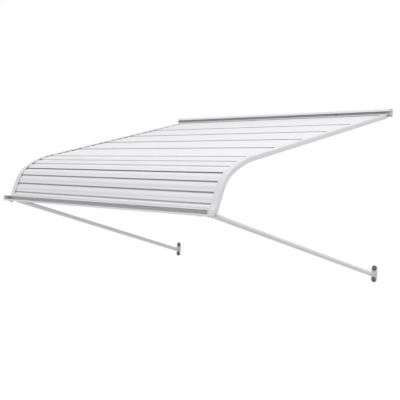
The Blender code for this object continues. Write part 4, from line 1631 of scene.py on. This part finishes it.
@dataclass
class WallFeet:
    """The two wall feet: plate with ears, the arm's pin, screws and sealing washers."""

    shop: Workshop
    row: TreeWriter
    fasteners: Fasteners
    width: float = 0.030
    height: float = 0.075
    plate: float = 0.003
    out: float = 0.027
    ear: float = 0.0025
    ear_radius: float = 0.009
    tongue: float = 0.0064
    gap: float = 0.0003
    pin: float = 0.003
    spread: float = 0.050
    shank: float = 0.0021
    washer: float = 0.011
    washer_thickness: float = 0.002
    head: float = 0.0062
    head_height: float = 0.0035
    head_shade: float = 0.75
    plate_soft: float = 0.0006
    plate_steps: int = 32
    ear_soft: float = 0.0005
    rivet_head: float = 0.005
    rivet_height: float = 0.0018
    rim: float = 0.0009
    rim_foot: float = 0.0006
    rim_steps: int = 5
    seal_sides: int = 64

    def bracket(self) -> Solid:
        """The plate and its ears about the pin, the wall towards +Y.

        Returns:
            The solid.
        """
        radius, rise = self.width / 2, self.height / 2 - self.width / 2
        top = [Vector((radius * math.cos(angle), rise + radius * math.sin(angle)))
               for angle in half_turn(self.plate_steps)]
        outline = top + [-point for point in top]
        solid = softened(extruded(outline, -self.out, -self.out + self.plate), self.plate_soft)
        for up in (-1, 1):
            hole = extruded(circle(self.shank + self.gap), -2 * self.out, 0.0)
            spot = Matrix.Translation((0.0, 0.0, up * self.spread / 2))
            solid = combined(solid, carried(hole, spot), Join.CUT)
        solid = carried(solid, FROM_WALL)
        outline = tongue_outline(self.ear_radius, self.out - self.plate / 2)
        start = self.tongue / 2 + self.gap
        for side in Side:
            ends = sorted((side.value * start, side.value * (start + self.ear)))
            solid = combined(solid, softened(extruded(outline, *ends), self.ear_soft), Join.ADD)
        bore = extruded(circle(self.pin + self.gap), -self.width, self.width)
        return combined(solid, bore, Join.CUT)

    def screw(self) -> Solid:
        """A wall screw with a domed head, about its place on the wall plane.

        Returns:
            The solid along X.
        """
        seat = self.plate + 2 * self.gap + self.washer_thickness
        solid = cross_screw([(0.0, self.shank)], seat, self.head, self.head_height, Crown.ROUND)
        return shaded(solid, lambda place: self.head_shade)

    def seal(self) -> Solid:
        """A sealing washer with a soft rim, about its place on the wall plane.

        Returns:
            The solid along X.
        """
        start = self.plate + self.gap
        end = start + self.washer_thickness
        inner, outer = self.shank + self.gap, self.washer
        corners = [(start, inner, 0.0), (end, inner, 0.0),
                   (end, outer, self.rim), (start, outer, self.rim_foot)]
        return lathed(rounded(corners, closed=True, steps=self.rim_steps), self.seal_sides, hollow=True)

    def build(self) -> None:
        """Make both feet on their pins."""
        for side in Side:
            body, pin = f"foot_{side.label}", hinge(f"foot_{side.label}_hinge")
            place = Matrix.Translation(pin)
            self.shop.deliver(f"wall_{body}_bracket", carried(self.bracket(), place),
                              ZINC, body, f"wall_{body}")
            rivet = self.fasteners.domed(self.fasteners.span(f"foot_pin_{side.label}"),
                                         self.rivet_head, self.rivet_height, self.pin)
            self.shop.deliver(f"{body}_rivet", carried(rivet, place), PLATED_STEEL, body,
                              f"foot_pin_{side.label}")
            places = {
                "Count": 2,
                "First": (pin.x, 0.0, pin.z - self.spread / 2),
                "Step": (0.0, 0.0, self.spread),
            }
            for name, solid, finish in (("screw", self.screw(), PLATED_STEEL),
                                        ("washer", self.seal(), SEAL_RUBBER)):
                placed = self.row.run(helper(name, carried(solid, FROM_WALL)), places)
                self.shop.deliver(f"{body}_{name}s", placed, finish, body,
                                  *(f"foot_{name}_{level}_{side.label}" for level in ("upper", "lower")))


@dataclass
class Studio:
    """The camera, the lights, the world and the floor."""

    camera_place: Corner = (2.4933, -2.9684, -0.4236)
    yaw: float = math.radians(45.1)
    pitch: float = math.radians(0.09)
    roll: float = math.radians(3.33)
    lens: float = 69.74
    sensor: float = 36.0
    middle: Corner = (0.0, -0.5, -0.2)
    ambient: float = 0.57
    key_from: Corner = (0.44, -0.35, 0.827)
    key_distance: float = 5.0
    key_size: float = 3.0
    key_level: float = 0.52
    floor_z: float = -3.30
    floor_radius: float = 7.0
    floor_sides: int = 96
    floor_roughness: float = 0.8
    floor_glow: float = 0.7
    floor_colour: Colour = (0.93, 0.93, 0.93)

    def set_camera(self) -> None:
        """Place the camera at the photograph's viewing angle."""
        data = bpy.data.cameras.new("photo_camera")
        data.lens = self.lens
        data.sensor_width = self.sensor
        camera = linked("photo_camera", data)
        turn = Matrix.Rotation(self.yaw, 4, "Z") @ Matrix.Rotation(math.pi / 2 - self.pitch, 4, "X")
        turn = turn @ Matrix.Rotation(self.roll, 4, "Z")
        camera.matrix_world = Matrix.Translation(self.camera_place) @ turn
        bpy.context.scene.camera = camera

    def set_lights(self) -> None:
        """Hang one large soft key light and set the view transform."""
        data = bpy.data.lights.new("key_softbox", "AREA")
        data.shape = "SQUARE"
        data.size = self.key_size
        data.energy = self.key_level * (math.pi * self.key_distance) ** 2
        light = linked("key_softbox", data)
        direction = Vector(self.key_from).normalized()
        place = Matrix.Translation(Vector(self.middle) + direction * self.key_distance)
        light.matrix_world = place @ direction.to_track_quat("Z", "Y").to_matrix().to_4x4()
        bpy.context.scene.view_settings.view_transform = "Standard"

    def set_world(self) -> None:
        """A soft ambient light behind which the camera sees white."""
        world = bpy.data.worlds.new("studio")
        bpy.context.scene.world = world
        world.use_nodes = True
        nodes, links = world.node_tree.nodes, world.node_tree.links
        nodes.clear()
        soft, white = (nodes.new("ShaderNodeBackground") for _ in range(2))
        for shader, level in ((soft, self.ambient), (white, 1.0)):
            shader.inputs["Color"].default_value = WHITE
            shader.inputs["Strength"].default_value = level
        both = mixed(world.node_tree, seen_directly(world.node_tree), soft, white)
        links.new(both, nodes.new("ShaderNodeOutputWorld").inputs["Surface"])

    def set_floor(self) -> None:
        """A plain pale floor that stays nearly white and keeps the canopy's shadow."""
        disc = bmesh.new()
        rim = [disc.verts.new((p.x, p.y + self.middle[1], self.floor_z))
               for p in circle(self.floor_radius, self.floor_sides)]
        disc.faces.new(rim)
        floor = helper("floor", disc)
        material = bpy.data.materials.new("pale_floor")
        material.use_nodes = True
        nodes, links = material.node_tree.nodes, material.node_tree.links
        shader = nodes["Principled BSDF"]
        shader.inputs["Base Color"].default_value = (*self.floor_colour, 1.0)
        shader.inputs["Roughness"].default_value = self.floor_roughness
        glow = nodes.new("ShaderNodeEmission")
        glow.inputs["Color"].default_value = WHITE
        glow.inputs["Strength"].default_value = 1.0
        tree = material.node_tree
        share = arithmetic(tree, "MULTIPLY", seen_directly(tree), self.floor_glow)
        links.new(mixed(tree, share, shader, glow), nodes["Material Output"].inputs["Surface"])
        floor.data.materials.append(material)

    def build(self) -> None:
        """Set the whole studio."""
        self.set_camera()
        self.set_lights()
        self.set_world()
        self.set_floor()


def seen_directly(tree: bpy.types.NodeTree) -> Socket:
    """Whether a ray comes from the camera, a reflection or a clear surface.

    Args:
        tree: The node tree that needs the answer.

    Returns:
        A socket that is 1 for such rays.
    """
    path = tree.nodes.new("ShaderNodeLightPath")
    answer = path.outputs["Is Camera Ray"]
    for name in ("Is Glossy Ray", "Is Transmission Ray"):
        answer = arithmetic(tree, "MAXIMUM", answer, path.outputs[name])
    return answer


def mixed(tree: bpy.types.NodeTree, share: Socket, first: bpy.types.Node,
          second: bpy.types.Node) -> Socket:
    """Mix two shaders.

    Args:
        tree: The node tree that holds them.
        share: The share of the second one.
        first: A shader node.
        second: A shader node.

    Returns:
        The mixed shader.
    """
    mix = tree.nodes.new("ShaderNodeMixShader")
    for socket, value in zip(mix.inputs, (share, first.outputs[0], second.outputs[0])):
        tree.links.new(value, socket)
    return mix.outputs[0]


def main() -> None:
    """Build the canopy from the wall outwards, then the studio."""
    logging.basicConfig(level=logging.INFO, format="%(name)s: %(message)s")
    shop, line = Workshop(), RoofLine()
    row, pair = write_row(), write_pair()
    HeaderRail(line, shop, row).build()
    RoofSheets(line, shop).build()
    SideRails(line, shop).build()
    fasteners = Fasteners(shop, pair, line)
    fasteners.build()
    FrontBar(line, shop).build(fasteners.bar_drills())
    SupportArms(shop).build()
    WallFeet(shop, row, fasteners).build()
    Studio().build()
    LOG.info("%d pieces", shop.delivered)


if __name__ == "__main__":
    main()
